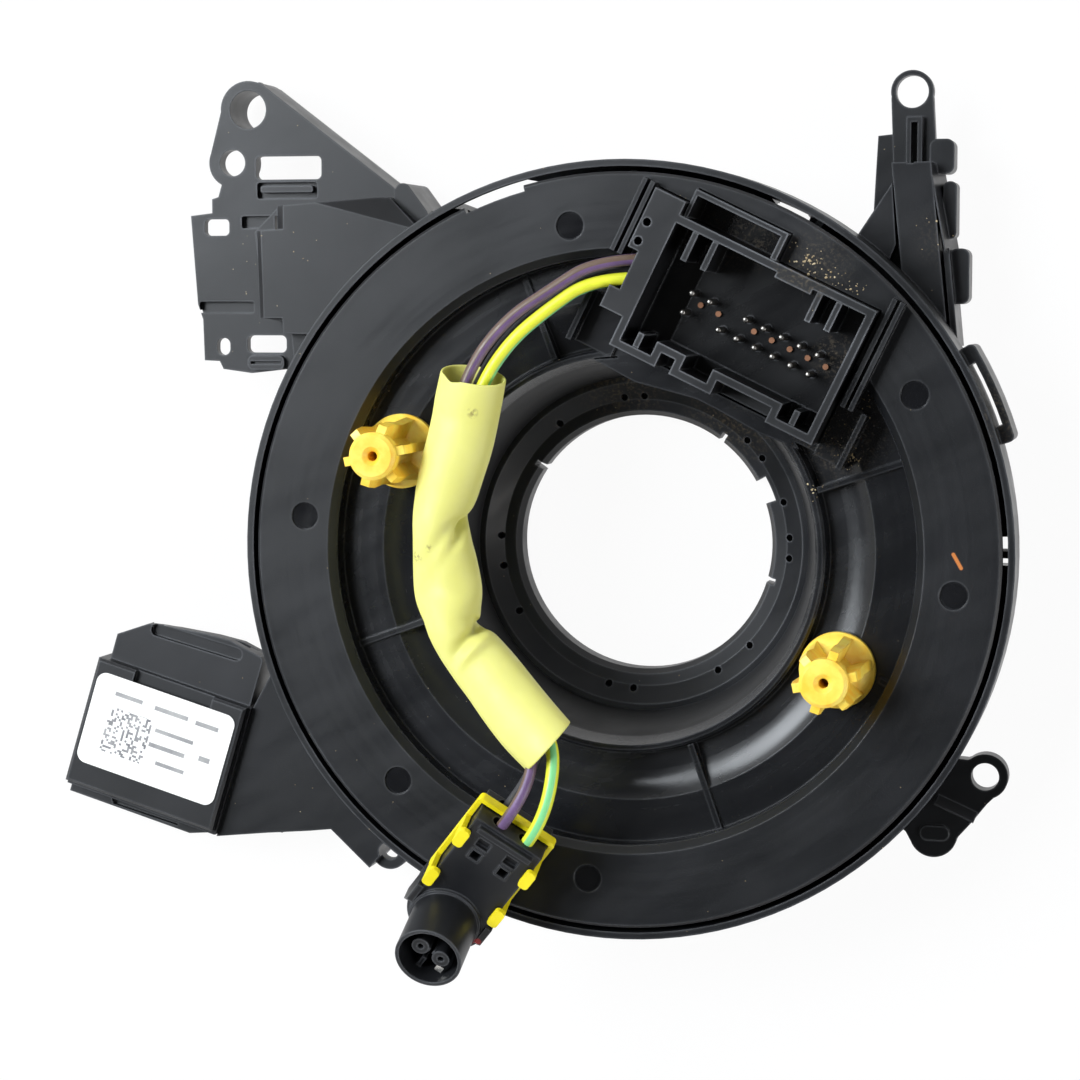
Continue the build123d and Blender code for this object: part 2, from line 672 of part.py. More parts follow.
def make_rotor():
    shape = rotor_shell()
    # Webs across the recess and the channel
    for angle in rib_angles:
        web = block((barrel_radius - 0.6, -rib_thickness / 2, channel_level - 1.0),
                    (recess_radius - 0.8, rib_thickness / 2, recess_level + rib_height))
        shape += Rot(0, 0, angle) * web
    short_web = block((recess_inner + 4.7, -rib_thickness / 2, recess_level - 1.0),
                      (recess_radius - 0.8, rib_thickness / 2, recess_level + rib_height))
    shape += Rot(0, 0, short_rib_angle) * short_web
    # Pedestals under the drive pins
    for place in drive_pin_places.values():
        shape += disc(place, drive_flange_radius - 0.5, channel_level - 1.0, recess_level)
    # Tub that carries the switch socket
    tub_bottom = socket_bottom - tub_floor
    tub = socket_frame * Pos(0, 0, tub_bottom) * extrude(
        socket_footprint(seat_clearance + tub_wall), lip_level - tub_bottom)
    bulge = socket_frame * Pos(-2.3, -3.0, lip_level - 2.0) * extrude(
        RectangleRounded(34.0, 19.0, 6.0), 2.0)
    bulge += plate([(-4.4, 27.6), (1.6, 24.4), (11.1, 21.9), (19.7, 17.2), (25.5, 15.0), (30.0, 30.0)],
                   lip_level - 2.0, lip_level)
    tub += bulge & ring(24.0, 29.5, 0, 30)
    # Rails and brackets beside the socket
    rail_top = disc_level + rail_height
    rails = Pos(socket_right + 1.3, 4.5, 0) * rail_pair(16.6, tub_bottom, rail_top)
    rails += Pos(block_left - 2.2, 7.2, 0) * rail_pair(11.2, tub_bottom, rail_top)
    rails += block((socket_right + seat_clearance, -12.0, tub_bottom), (20.6, -3.5, recess_level + 1.6))
    rails += block((20.0, -12.0, tub_bottom), (20.8, -3.5, disc_level + 0.6))
    rails += block((-22.6, -12.6, tub_bottom), (-16.0 - seat_clearance, -4.8, recess_level + 1.6))
    rails += block((-22.7, -12.6, tub_bottom), (-21.9, -4.8, disc_level + 0.6))
    shape += (tub + socket_frame * rails) & ring(24.0, rotor_radius, 0, 40)
    shape -= socket_frame * Pos(0, 0, socket_bottom) * extrude(socket_footprint(seat_clearance), 20)
    # Sockets for the stems of the drive pins and shallow round marks left by the moulding tool
    for place in drive_pin_places.values():
        shape -= disc(place, drive_stem_radius + pin_clearance, recess_level - drive_stem_depth, 30)
    for x, y in ejector_marks:
        shape -= disc((x, y), ejector_mark_radius, disc_level - ejector_mark_depth, 30)
    # Sighting notch in the edge of the disc
    shape -= sector(rotor_radius - 0.9, rotor_radius + 1, 105.0, 114.8, disc_level - 3, disc_level + 1)
    return shape


def rail_pair(length, bottom, top):
    """Two thin parallel rails."""
    shape = Pos(0, 0, bottom) * Box(
        rail_thickness, length, top - bottom, align=(Align.CENTER, Align.CENTER, Align.MIN))
    return shape + Pos(rail_thickness + rail_gap, 0, 0) * shape


def make_lock_ring():
    """Ring snapped into the barrel: bore, slotted step and flange under the housing floor."""
    step_level = bore_height + 1.2
    outer = barrel_inside - snap_clearance
    shape = turned(profile(
        (bore_radius, 0), (bore_radius, bore_height), (bore_radius + 0.7, step_level),
        (bore_radius + 2.4, step_level + 0.2), (cone_foot_radius - 0.9, cone_foot_level),
        (outer, cone_foot_level), (outer, flange_top), (flange_radius, flange_top),
        (flange_radius, flange_bottom), (outer - 0.8, flange_bottom), (outer - 1.4, 0)))
    for angle in bore_notch_angles:
        notch = block((bore_radius - 1, -bore_notch_width / 2, -1),
                      (bore_radius + bore_notch_depth, bore_notch_width / 2, 10))
        shape -= Rot(0, 0, angle) * notch
    shape -= sector(bore_radius - 1, bore_radius + wide_notch_depth, wide_notch_start, wide_notch_stop, -1, 10)
    for angle in stud_ring_angles:
        shape -= disc(polar(stud_ring_radius, angle), stud_hole_radius, step_level - stud_hole_depth, 10)
    return shape


def cavity_outline(offset):
    """Notched inside edge of the socket, moved outwards by an offset."""
    edge = cavity_half_width + offset
    step = cavity_half_width - notch_depth + offset
    end = cavity_half_length + offset
    return [
        (-end, edge), (end, edge), (end, -edge), (9.85 - offset, -edge), (9.85 - offset, -step),
        (-1.1 + offset, -step), (-1.1 + offset, -edge), (-5.3 - offset, -edge), (-5.3 - offset, -step),
        (-9.9 + offset, -step), (-9.9 + offset, -edge), (-end, -edge)]


def pin_places():
    """Centres of the contact pins in the socket frame, upper row first."""
    places = [(first_pin + k * pin_pitch, upper_row) for k in upper_pins]
    return places + [(first_pin + k * pin_pitch, lower_row) for k in lower_pins]


def make_socket_housing():
    shape = Pos(0, 0, socket_bottom) * extrude(socket_footprint(0), lip_level - socket_bottom - 1.0)
    shape += plate(cavity_outline(socket_wall), socket_bottom, socket_top)
    shape += block((block_left, wire_block_start, socket_bottom), (-cavity_half_length, wire_block_stop, socket_top))
    latch_outer = socket_edge + latch_pocket_width
    shape += block((-latch_length, socket_edge - 1, socket_bottom), (0, latch_edge, socket_top - 1.5))
    shape -= block((-latch_length + 0.6, socket_edge, cavity_floor), (-0.9, latch_outer, 40))
    shape -= plate(cavity_outline(0), cavity_floor, 40)
    shape += block((pin_field_start, -6.9, cavity_floor - 0.2),
                   (cavity_half_length + 0.2, cavity_half_width + 0.2, pin_field_level))
    # Guide ribs that code the mating plug, and the key ledge in the upper wall
    rib_top = socket_top - 0.7
    for u in (-11.7, -8.6, 7.7, 10.7):
        shape += block((u - guide_rib_thickness / 2, 4.7, cavity_floor - 0.2),
                       (u + guide_rib_thickness / 2, cavity_half_width + 0.2, rib_top))
    for u in (-12.5, 12.1):
        shape += block((u - guide_rib_thickness / 2, -cavity_half_width - 0.2, cavity_floor - 0.2),
                       (u + guide_rib_thickness / 2, -6.9, rib_top))
    shape += block((1.0, cavity_half_width - 0.8, socket_top - 3.0), (6.6, cavity_half_width + 0.2, socket_top))
    # Cavities of the wire block: two empty ones and an open notch for the leads
    for v in (7.4, 4.5):
        shape -= disc((block_left + 1.0, v), 0.58, socket_top - 6, socket_top + 1)
    shape -= block((block_left - 1, -2.7, socket_top - 4.6), (block_left + 1.6, 3.2, socket_top + 1))
    # Seats of the contact pins
    for u, v in pin_places():
        shape -= disc((u, v), pin_radius + pin_clearance, pin_field_level - pin_seat, 40)
    return socket_frame * shape


def make_socket_pins():
    """Fourteen round pins with domed tips."""
    bottom = pin_field_level - pin_seat
    top = pin_field_level + pin_height
    pin = Pos(0, 0, bottom) * extrude(Circle(pin_radius), top - bottom)
    pin = fillet(pin.edges().group_by(Axis.Z)[-1], pin_radius * 0.8)
    return Compound(children=[socket_frame * Pos(u, v, 0) * pin for u, v in pin_places()])


def make_contact_studs():
    """Seven low copper studs beside the upper row of pins."""
    studs = []
    for k in upper_pins:
        place = (first_pin + k * pin_pitch + stud_offset[0], upper_row + stud_offset[1])
        studs.append(socket_frame * disc(place, stud_radius, pin_field_level, pin_field_level + stud_height))
    return Compound(children=studs)


def make_drive_pin(place):
    """Winged pin: conical flange, six tapered wings about a core, cap with a small hole."""
    flange_height = 2.2
    core = turned(profile(
        (0, 0), (drive_flange_radius, 0), (drive_flange_radius, 1.0), (drive_cap_radius + 0.4, flange_height),
        (drive_cap_radius - 0.9, flange_height + 1.2), (drive_cap_radius - 0.9, drive_height - 4.0),
        (drive_cap_radius, drive_height - 2.4), (drive_cap_radius, drive_height - 0.5),
        (drive_cap_radius - 0.5, drive_height), (0, drive_height)))
    wing = extrude(make_face(Polyline(
        at(0, 1.0), at(drive_flange_radius - 0.4, 1.0), at(drive_wing_radius - 0.3, drive_height * 0.45),
        at(drive_wing_radius, drive_height - 4.6), at(drive_wing_radius - 0.3, drive_height - 1.4),
        at(drive_cap_radius - 0.8, drive_height - 0.8), at(0, drive_height - 0.8), close=True)),
        drive_wing_thickness / 2, both=True)
    for number in range(drive_wing_count):
        core += Rot(0, 0, number * 360 / drive_wing_count + 12) * wing
    core += Pos(0, 0, -drive_stem_depth) * extrude(Circle(drive_stem_radius), drive_stem_depth + 0.5)
    core -= Pos(0, 0, drive_height - 6) * extrude(Circle(drive_hole_radius), 8)
    core -= Pos(0, 0, drive_height - 0.65) * Cone(
        drive_hole_radius, drive_hole_radius + 0.65, 0.65, align=(Align.CENTER, Align.CENTER, Align.MIN))
    return Pos(place[0], place[1], recess_level) * core


def plug_outline(width, tail, nose):
    """Plan of the plug: straight sides, square tail and rounded nose."""
    half = width / 2
    return make_face([
        Polyline((-half, nose - half), (-half, -tail), (half, -tail), (half, nose - half)),
        ThreePointArc((half, nose - half), (0, nose), (-half, nose - half))])


def make_plug_body():
    half = plug_width / 2
    shape = Pos(0, 0, -plug_height) * extrude(plug_outline(plug_width, plug_tail, plug_nose), plug_height)
    # Wider nose that wraps round the foot of the barrel
    shape += Pos(0, 0, -plug_height + 1.2) * extrude(
        plug_outline(nose_width, -nose_start, plug_nose), plug_height - 1.8)
    shape += extrude(Circle(barrel_outer), barrel_length)
    shape += extrude(Circle(barrel_outer + collar_step), collar_height)
    shape -= Pos(0, 0, -2.0) * extrude(Circle(barrel_inner), barrel_length + 3)
    for side in (-1, 1):
        tube = Pos(side * contact_spacing / 2, 0, -2.2) * extrude(Circle(contact_tube_radius), barrel_length + 0.9)
        shape += tube
        shape += block((side * 0.6 - 0.35, -0.35, -2.2), (side * 0.6 + 0.35, 0.35, barrel_length - 1.7))
        # Locking arm beside the barrel, with its sloping end
        arm = Plane.YZ * make_face(Polyline(
            (-3.0, -4.5), (2.6, -4.5), (2.6, -2.0), (0.4, 0.4), (-3.0, 0.4), close=True))
        arm = extrude(arm, arm_thickness)
        shape += Pos(arm_offset if side > 0 else -arm_offset - arm_thickness, 0, 0) * arm
        # Window over each crimp in its raised frame, and the recess behind it
        shape += pad((side * 2.3, -12.65), (2.1, 2.1), 0.2, -wall_bite, 0.15)
        shape -= block((side * 2.3 - 0.7, -13.35, -1.6), (side * 2.3 + 0.7, -11.95, 1))
        shape -= block((side * 2.3 - 1.0, -15.7, -0.7), (side * 2.3 + 1.0, -14.2, 1))
        # Lead entry at the tail
        shape -= Pos(side * lead_seat[0], -plug_tail - 1, lead_seat[1]) * Rot(-90, 0, 0) * extrude(
            Circle(yellow_radius + 0.08), 4.0)
    shape -= Pos(grey_seat[0], -plug_tail - 1, grey_seat[1]) * Rot(-90, 0, 0) * extrude(
        Circle(grey_radius + 0.08), 3.0)
    # Raised bar across the top face and the key rib inside the barrel
    bar_half = half - tab_reach - lock_gap
    shape += block((-bar_half, -plug_tail + 0.6, -0.2), (bar_half, -plug_tail + 1.5, 0.9))
    shape += block((-0.35, 2.4, -2.2), (0.35, barrel_inner + 0.2, barrel_length - 2.6))
    for side in (-1, 1):
        shape -= Pos(side * contact_spacing / 2, 0, 2.0) * extrude(Circle(contact_hole_radius), barrel_length)
        shape -= Pos(side * contact_spacing / 2, 0, -2.1) * extrude(Circle(contact_hole_radius + 0.12), 4.2)
    return plug_frame * shape


def make_plug_lock():
    """Yellow secondary lock: bar behind the tail, two side arms and four tabs over the top."""
    half = plug_width / 2 + lock_gap
    outer = half + lock_thickness
    tail = plug_tail + lock_gap
    low = -lock_bar_drop - lock_bar_height
    top = lock_gap + tab_thickness
    bar = block((-outer, -tail - lock_thickness, low), (outer, -tail, -lock_bar_drop))
    back_edges = [edge for edge in bar.edges().filter_by(Axis.Z) if edge.center().Y < -tail - 0.5 * lock_thickness]
    shape = fillet(back_edges, 0.9 * lock_thickness)
    front = tab_places[1] + tab_length / 2
    for side in (-1, 1):
        inner_x = half if side > 0 else -outer
        shape += block((inner_x, -tail - 0.1, low), (inner_x + lock_thickness, front, low + 1.3))
        for place in tab_places:
            near, far = place - tab_length / 2, place + tab_length / 2
            shape += block((inner_x, near + tab_corner, low), (inner_x + lock_thickness, far - tab_corner, top))
            width = tab_reach + lock_thickness
            shape += pad((side * (outer - width / 2), place), (width, tab_length), tab_corner, lock_gap, top)
    return plug_frame * shape


def make_plug_contacts():
    """Two tubular contacts inside the plug."""
    shapes = []
    for side in (-1, 1):
        contact = Pos(side * contact_spacing / 2, 0, -2.1) * extrude(Circle(contact_hole_radius + 0.09), 4.0)
        contact -= Pos(side * contact_spacing / 2, 0, -1.0) * extrude(Circle(0.3), 4.0)
        shapes.append(plug_frame * contact)
    return Compound(children=shapes)


def make_plug_spring():
    """Shorting spring: a bent leaf beside one contact tube."""
    leaf = block((-3.0, 1.5, -2.0), (-1.9, 1.75, 7.6))
    leaf += block((-3.0, 1.5, 7.35), (-1.9, 2.5, 7.6))
    return plug_frame * leaf


def cord(points, radius, wall=0.0):
    """Round tube along straight runs joined by the largest arcs that fit."""
    places = [Vector(*p) for p in points]
    radii = []
    for before, here, after in zip(places, places[1:], places[2:]):
        first, second = here - before, after - here
        half_turn = radians(first.get_angle(second)) / 2
        radii.append(0.45 * min(first.length, second.length) / tan(half_turn))
    path = FilletPolyline(*points, radius=radii)
    print("bend radii", [round(r, 1) for r in radii], "length", round(path.length, 1))
    section = Circle(radius) - Circle(radius - wall) if wall else Circle(radius)
    start = Plane(origin=path @ 0, z_dir=path % 0)
    tube = sweep(start * section, path=path)
    area = section.area * path.length
    print("volume", round(tube.volume, 1), "section times length", round(area, 1))
    return tube


def plug_point(s, w, b):
    place = (plug_frame * Pos(s, w, b)).position
    return (place.X, place.Y, place.Z)


sleeve_route = [
    (-20.1, 24.8, 28.3), (-22.6, 15.6, 28.3), (-24.6, 6.4, 28.3), (-24.6, -3.2, 28.4),
    (-22.2, -12.2, 29.0), (-15.6, -18.9, 31.6), (-8.4, -26.0, 34.9)]
purple_route = [
    (3.2, 41.8, 25.6), (-3.0, 41.5, 26.8), (-9.0, 37.6, 27.6), (-15.4, 33.4, 28.2), (-20.7, 26.6, 28.6),
    (-23.9, 16.0, 28.7), (-26.0, 6.4, 28.8), (-26.0, -3.2, 28.9), (-23.4, -13.0, 29.6),
    (-16.8, -19.8, 32.4), (-10.0, -26.2, 35.2), (-9.6, -30.0, 37.0)]
yellow_route = [
    (2.2, 39.1, 25.4), (-3.6, 38.9, 26.4), (-9.4, 34.9, 27.2), (-15.0, 30.2, 27.8), (-19.2, 23.8, 28.2),
    (-21.6, 15.4, 28.3), (-23.5, 6.2, 28.3), (-23.4, -2.8, 28.4), (-21.0, -11.5, 29.2),
    (-14.4, -18.0, 31.8), (-7.6, -24.2, 34.9), (-6.3, -29.0, 36.7)]
grey_route = [
    (2.6, 40.4, 23.6), (-3.4, 40.2, 24.4), (-9.2, 36.2, 25.4), (-15.2, 31.6, 26.0), (-20.0, 25.0, 26.2),
    (-22.6, 15.8, 26.2), (-24.6, 6.3, 26.2), (-24.6, -3.0, 26.3), (-22.0, -12.2, 27.0),
    (-15.5, -18.8, 29.6), (-9.4, -25.2, 32.6), (-9.6, -28.6, 34.4)]


def plug_end(route, s, b):
    """Last two points of a lead: the approach to the tail of the plug and its seat there."""
    approach = -plug_tail - lock_travel - 2.6
    return route + [plug_point(s, approach, b), plug_point(s, -plug_tail + 0.4, b)]


nodes = {
    "stator_case": make_stator_case,
    "rear_cover": make_rear_cover,
    "ribbon_cable": make_ribbon,
    "stator_terminal": make_stator_terminal,
    "harness_pins": make_harness_pins,
    "rotor": make_rotor,
    "lock_ring": make_lock_ring,
    "rotor_terminal": make_rotor_terminal,
    "socket_housing": make_socket_housing,
    "socket_pins": make_socket_pins,
    "contact_studs": make_contact_studs,
    "drive_pin_left": lambda: make_drive_pin(drive_pin_places["left"]),
    "drive_pin_right": lambda: make_drive_pin(drive_pin_places["right"]),
    "wire_purple": lambda: cord(plug_end(purple_route, *lead_seat), purple_radius),
    "wire_yellow": lambda: cord(plug_end(yellow_route, -lead_seat[0], lead_seat[1]), yellow_radius),
    "wire_grey": lambda: cord(plug_end(grey_route, *grey_seat), grey_radius),
    "wire_sleeve": lambda: cord(sleeve_route, sleeve_radius, sleeve_wall),
    "plug_body": make_plug_body,
    "plug_lock": make_plug_lock,
    "plug_contacts": make_plug_contacts,
    "plug_spring": make_plug_spring,
}


def case_outline(inset):
    """Plan of the sensor case with its cut corner at the lower right."""
    low = sensor_lower + inset
    return [
        (sensor_left + inset, sensor_upper - inset), (sensor_left + inset, low), (8.2 - inset / 2, low),
        (sensor_right - inset, low + 1.8), (sensor_right - inset, sensor_upper - inset)]


sensor_floor_top = sensor_bottom + sensor_wall
board_bottom = sensor_floor_top + board_post_height
board_top = board_bottom + board_thickness
sensor_pin_level = board_top + sensor_pin_radius
board_left, board_right = sensor_left + 2.0, sensor_right - 2.4
board_lower, board_upper = sensor_lower + 4.8, sensor_upper - 1.7
hood_top = sensor_bottom + hood_height


def sensor_pin_places():
    middle = (hood_left + hood_right) / 2
    return [middle + (k - (sensor_pin_count - 1) / 2) * sensor_pin_pitch for k in range(sensor_pin_count)]


def hood_outline(inset):
    """Plan of the connector hood with its bowed end, set back by an inset."""
    end = hood_end - inset
    left = hood_left + hood_chamfer
    return [
        (hood_left, sensor_upper - 0.5), (hood_left, end - 4.8), (left, end - 1.7), (left + 2.5, end - 1.2),
        (left + 8.9, end - 0.3), (hood_right - 6.0, end), (hood_right - 3.6, end - 0.4),
        (hood_right - 0.4, end - 0.9), (hood_right, end - 1.5), (hood_right, sensor_upper - 0.5)]


def make_sensor_case():
    """Tray of the sensor module with board posts and the connector hood."""
    step_level = sensor_top - sensor_step
    shape = plate(case_outline(0), sensor_bottom, sensor_top)
    shape -= plate([
        (sensor_left - 1, sensor_lower - 1), (sensor_right + 1, sensor_lower - 1),
        (sensor_right + 1, sensor_lower + 1.7), (sensor_left - 1, sensor_lower + 1.7)],
        step_level, sensor_top + 1)
    inner = case_outline(sensor_wall)
    inner[1] = (inner[1][0], sensor_lower + 3.2)
    inner[2] = (inner[2][0], sensor_lower + 3.2)
    inner[3] = (inner[3][0], sensor_lower + 4.6)
    shape -= plate(inner, sensor_floor_top, sensor_top + 1)
    for p in (board_left + 1.4, board_right - 1.4):
        for q in (board_lower + 2.4, board_upper - 1.4):
            shape += disc((p, q), 1.1, sensor_floor_top - 0.2, board_bottom)
    # Connector hood with its mouth towards the outside and a latch window in its roof
    shape += plate(hood_outline(hood_inset), sensor_bottom, hood_top - hood_lip)
    shape += plate(hood_outline(0), hood_top - hood_lip - wall_bite, hood_top)
    left, right = hood_left + hood_chamfer, hood_right - 2 * hood_wall
    shape -= block((left, sensor_upper + 0.6, sensor_bottom + hood_wall), (right, hood_end + 1, hood_top - hood_wall))
    shape -= slot_between((left + 1.6, scoop_row), (right - 1.4, scoop_row + 0.4), scoop_width,
                          hood_top - 0.6 * hood_wall, hood_top + 1)
    # Long recess and square pocket in the step below the label
    shape -= plate([(-5.6, -12.1), (5.8, -11.9), (6.0, -12.9), (-5.0, -13.1)], step_level - 0.9, step_level + 1)
    shape -= block((6.2, -10.5, step_level - 0.9), (8.6, -9.4, step_level + 1))
    for p in sensor_pin_places():
        hole = Pos(p, sensor_upper - sensor_wall - 1, sensor_pin_level) * Rot(-90, 0, 0) * extrude(
            Circle(sensor_pin_radius + pin_clearance), 4.0)
        shape -= hole
    return sensor_frame * shape


def make_sensor_cover():
    top = sensor_top + sensor_cover_thickness
    low, high = sensor_lower + 2.4, sensor_upper
    right = sensor_right - 0.4
    shape = plate([(sensor_left, high), (sensor_left, low), (right, low), (right, high)], sensor_top, top)
    shape = chamfer(shape.edges().group_by(Axis.Z)[-1], 0.4)
    shape -= block((-6.0, high - 2.2, sensor_top + 0.6), (7.0, high + 1, top + 1))
    return sensor_frame * shape


def make_sensor_label():
    level = sensor_top + sensor_cover_thickness
    sheet = extrude(RectangleRounded(label_length, label_width, label_corner), label_thickness)
    return sensor_frame * Pos(0, 0, level) * sheet


def make_sensor_board():
    shape = block((board_left, board_lower, board_bottom), (board_right, board_upper, board_top))
    shape += block((-4.0, -4.0, board_top - 0.1), (2.0, 2.0, board_top + 1.2))
    shape += block((5.0, -4.0, board_top - 0.1), (8.0, -1.0, board_top + 1.0))
    return sensor_frame * shape


def make_sensor_pins():
    start = board_upper - 2.0
    pins = []
    for p in sensor_pin_places():
        pin = Pos(p, start, sensor_pin_level) * Rot(-90, 0, 0) * extrude(
            Circle(sensor_pin_radius), sensor_pin_length)
        pins.append(sensor_frame * pin)
    return Compound(children=pins)


nodes["sensor_case"] = make_sensor_case
nodes["sensor_cover"] = make_sensor_cover
nodes["sensor_label"] = make_sensor_label
nodes["sensor_board"] = make_sensor_board
nodes["sensor_pins"] = make_sensor_pins

os.makedirs("parts", exist_ok=True)
for name, make in nodes.items():
    solid = make()
    solid.label = name
    export_step(solid, f"parts/{name}.step")
    print(name, len(solid.solids()), round(solid.volume, 1))
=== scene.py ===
import math

import bpy
from mathutils import Matrix, Vector


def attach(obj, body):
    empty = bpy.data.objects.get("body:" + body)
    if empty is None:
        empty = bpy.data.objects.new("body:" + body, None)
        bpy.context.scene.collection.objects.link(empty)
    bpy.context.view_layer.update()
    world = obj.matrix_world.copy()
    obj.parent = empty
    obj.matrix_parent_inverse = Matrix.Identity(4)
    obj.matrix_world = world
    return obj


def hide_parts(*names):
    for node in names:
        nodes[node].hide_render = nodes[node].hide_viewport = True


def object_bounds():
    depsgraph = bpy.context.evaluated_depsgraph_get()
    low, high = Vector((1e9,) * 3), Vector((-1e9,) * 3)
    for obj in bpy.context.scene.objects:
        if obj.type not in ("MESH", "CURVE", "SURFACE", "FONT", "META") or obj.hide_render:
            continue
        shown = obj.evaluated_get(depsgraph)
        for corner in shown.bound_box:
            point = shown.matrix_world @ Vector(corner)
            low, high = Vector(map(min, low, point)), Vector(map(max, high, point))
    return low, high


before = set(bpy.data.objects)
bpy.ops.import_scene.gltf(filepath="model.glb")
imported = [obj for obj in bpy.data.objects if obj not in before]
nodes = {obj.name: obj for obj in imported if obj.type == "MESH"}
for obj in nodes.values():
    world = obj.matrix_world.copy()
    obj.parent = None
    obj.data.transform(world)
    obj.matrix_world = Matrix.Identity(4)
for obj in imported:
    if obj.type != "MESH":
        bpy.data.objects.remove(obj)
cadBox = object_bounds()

# Steering clock spring on a white studio floor. Metres, in the axes of the frame:
# the origin is on the rotor axis at the back face, and Z points out of the part.

mm = 0.001

# Values that the finishes share: tones are linear
noiseRange = (0.3, 0.7)  # most of a noise texture's values lie between these
# lighter grey painted along the moulded edges: partly real rubbing, partly a painted highlight that the
# edges catch
rubbedAndLitEdgeTone = (0.2, 0.206, 0.22)
# tone painted below a level as the shade in recesses
recessShadeTone = (0.003, 0.003, 0.0035)
dryDustTone = (0.2, 0.15, 0.09)
grainDepth = 0.01 * mm
softEdge = 0.15 * mm
# dot product of the rounded and the flat normal where the lighter edge band begins and where it is full
edgeLighteningBegins = 0.998
edgeLighteningFull = 0.94


# Shader building blocks

def startFinish(name):
    finish = bpy.data.materials.new(name)
    finish.use_nodes = True
    tree = finish.node_tree
    tree.nodes.clear()
    output = tree.nodes.new("ShaderNodeOutputMaterial")
    shader = tree.nodes.new("ShaderNodeBsdfPrincipled")
    tree.links.new(shader.outputs[0], output.inputs[0])
    return finish, tree, shader


def feed(tree, socket, value):
    # a socket takes either another node's output or a plain value
    if isinstance(value, bpy.types.NodeSocket):
        tree.links.new(value, socket)
    else:
        socket.default_value = value


def objectSpace(tree):
    return tree.nodes.new("ShaderNodeTexCoord").outputs["Object"]


def placed(tree, where, move=(0, 0, 0), turn=0.0, stretch=(1, 1, 1)):
    mapping = tree.nodes.new("ShaderNodeMapping")
    mapping.vector_type = "TEXTURE"
    mapping.inputs["Location"].default_value = move
    mapping.inputs["Rotation"].default_value = (0, 0, math.radians(turn))
    mapping.inputs["Scale"].default_value = stretch
    tree.links.new(where, mapping.inputs["Vector"])
    return mapping.outputs[0]


def cloud(tree, where, size, detail=3.0, roughness=0.5):
    noise = tree.nodes.new("ShaderNodeTexNoise")
    noise.inputs["Scale"].default_value = 1 / size
    noise.inputs["Detail"].default_value = detail
    noise.inputs["Roughness"].default_value = roughness
    tree.links.new(where, noise.inputs["Vector"])
    return noise.outputs["Fac"]


def span(tree, value, low, high, toLow=0.0, toHigh=1.0):
    ramp = tree.nodes.new("ShaderNodeMapRange")
    feed(tree, ramp.inputs["Value"], value)
    ramp.inputs["From Min"].default_value = low
    ramp.inputs["From Max"].default_value = high
    ramp.inputs["To Min"].default_value = toLow
    ramp.inputs["To Max"].default_value = toHigh
    return ramp.outputs["Result"]


def sums(tree, operation, first, second=0.0):
    node = tree.nodes.new("ShaderNodeMath")
    node.operation = operation
    feed(tree, node.inputs[0], first)
    feed(tree, node.inputs[1], second)
    return node.outputs[0]


def mixTone(tree, share, first, second):
    mix = tree.nodes.new("ShaderNodeMix")
    mix.data_type = "RGBA"
    feed(tree, mix.inputs[0], share)
    for socket, tone in ((mix.inputs[6], first), (mix.inputs[7], second)):
        feed(tree, socket, tone if isinstance(tone, bpy.types.NodeSocket) else (*tone, 1))
    return mix.outputs[2]


def nearSpots(tree, where, spots, core=0.2):
    # 1 in the core of each spot, 0 at its radius; spots are (x, y, z, radius) in mm
    total = None
    for x, y, z, radius in spots:
        distance = tree.nodes.new("ShaderNodeVectorMath")
        distance.operation = "DISTANCE"
        tree.links.new(where, distance.inputs[0])
        distance.inputs[1].default_value = (x * mm, y * mm, z * mm)
        here = span(tree, distance.outputs["Value"], radius * mm * core, radius * mm, 1, 0)
        total = here if total is None else sums(tree, "MAXIMUM", total, here)
    return total


def softNormal(tree, edge):
    soft = tree.nodes.new("ShaderNodeBevel")
    soft.samples = 4
    soft.inputs["Radius"].default_value = edge
    return soft.outputs[0]


def wornAndLitEdges(tree, edge):
    # 1 where the rounded normal leaves the flat one, which is along the moulded edges
    same = tree.nodes.new("ShaderNodeVectorMath")
    same.operation = "DOT_PRODUCT"
    tree.links.new(softNormal(tree, edge), same.inputs[0])
    tree.links.new(tree.nodes.new("ShaderNodeNewGeometry").outputs["Normal"], same.inputs[1])
    return span(tree, same.outputs["Value"], edgeLighteningBegins, edgeLighteningFull, 0, 1)


def edgeSoftened(tree, shader, height, depth, edge):
    # rounds the moulded edges a little and lays the grain over them
    bump = tree.nodes.new("ShaderNodeBump")
    bump.inputs["Strength"].default_value = 1.0
    bump.inputs["Distance"].default_value = depth
    tree.links.new(height, bump.inputs["Height"])
    if edge:
        tree.links.new(softNormal(tree, edge), bump.inputs["Normal"])
    tree.links.new(bump.outputs[0], shader.inputs["Normal"])


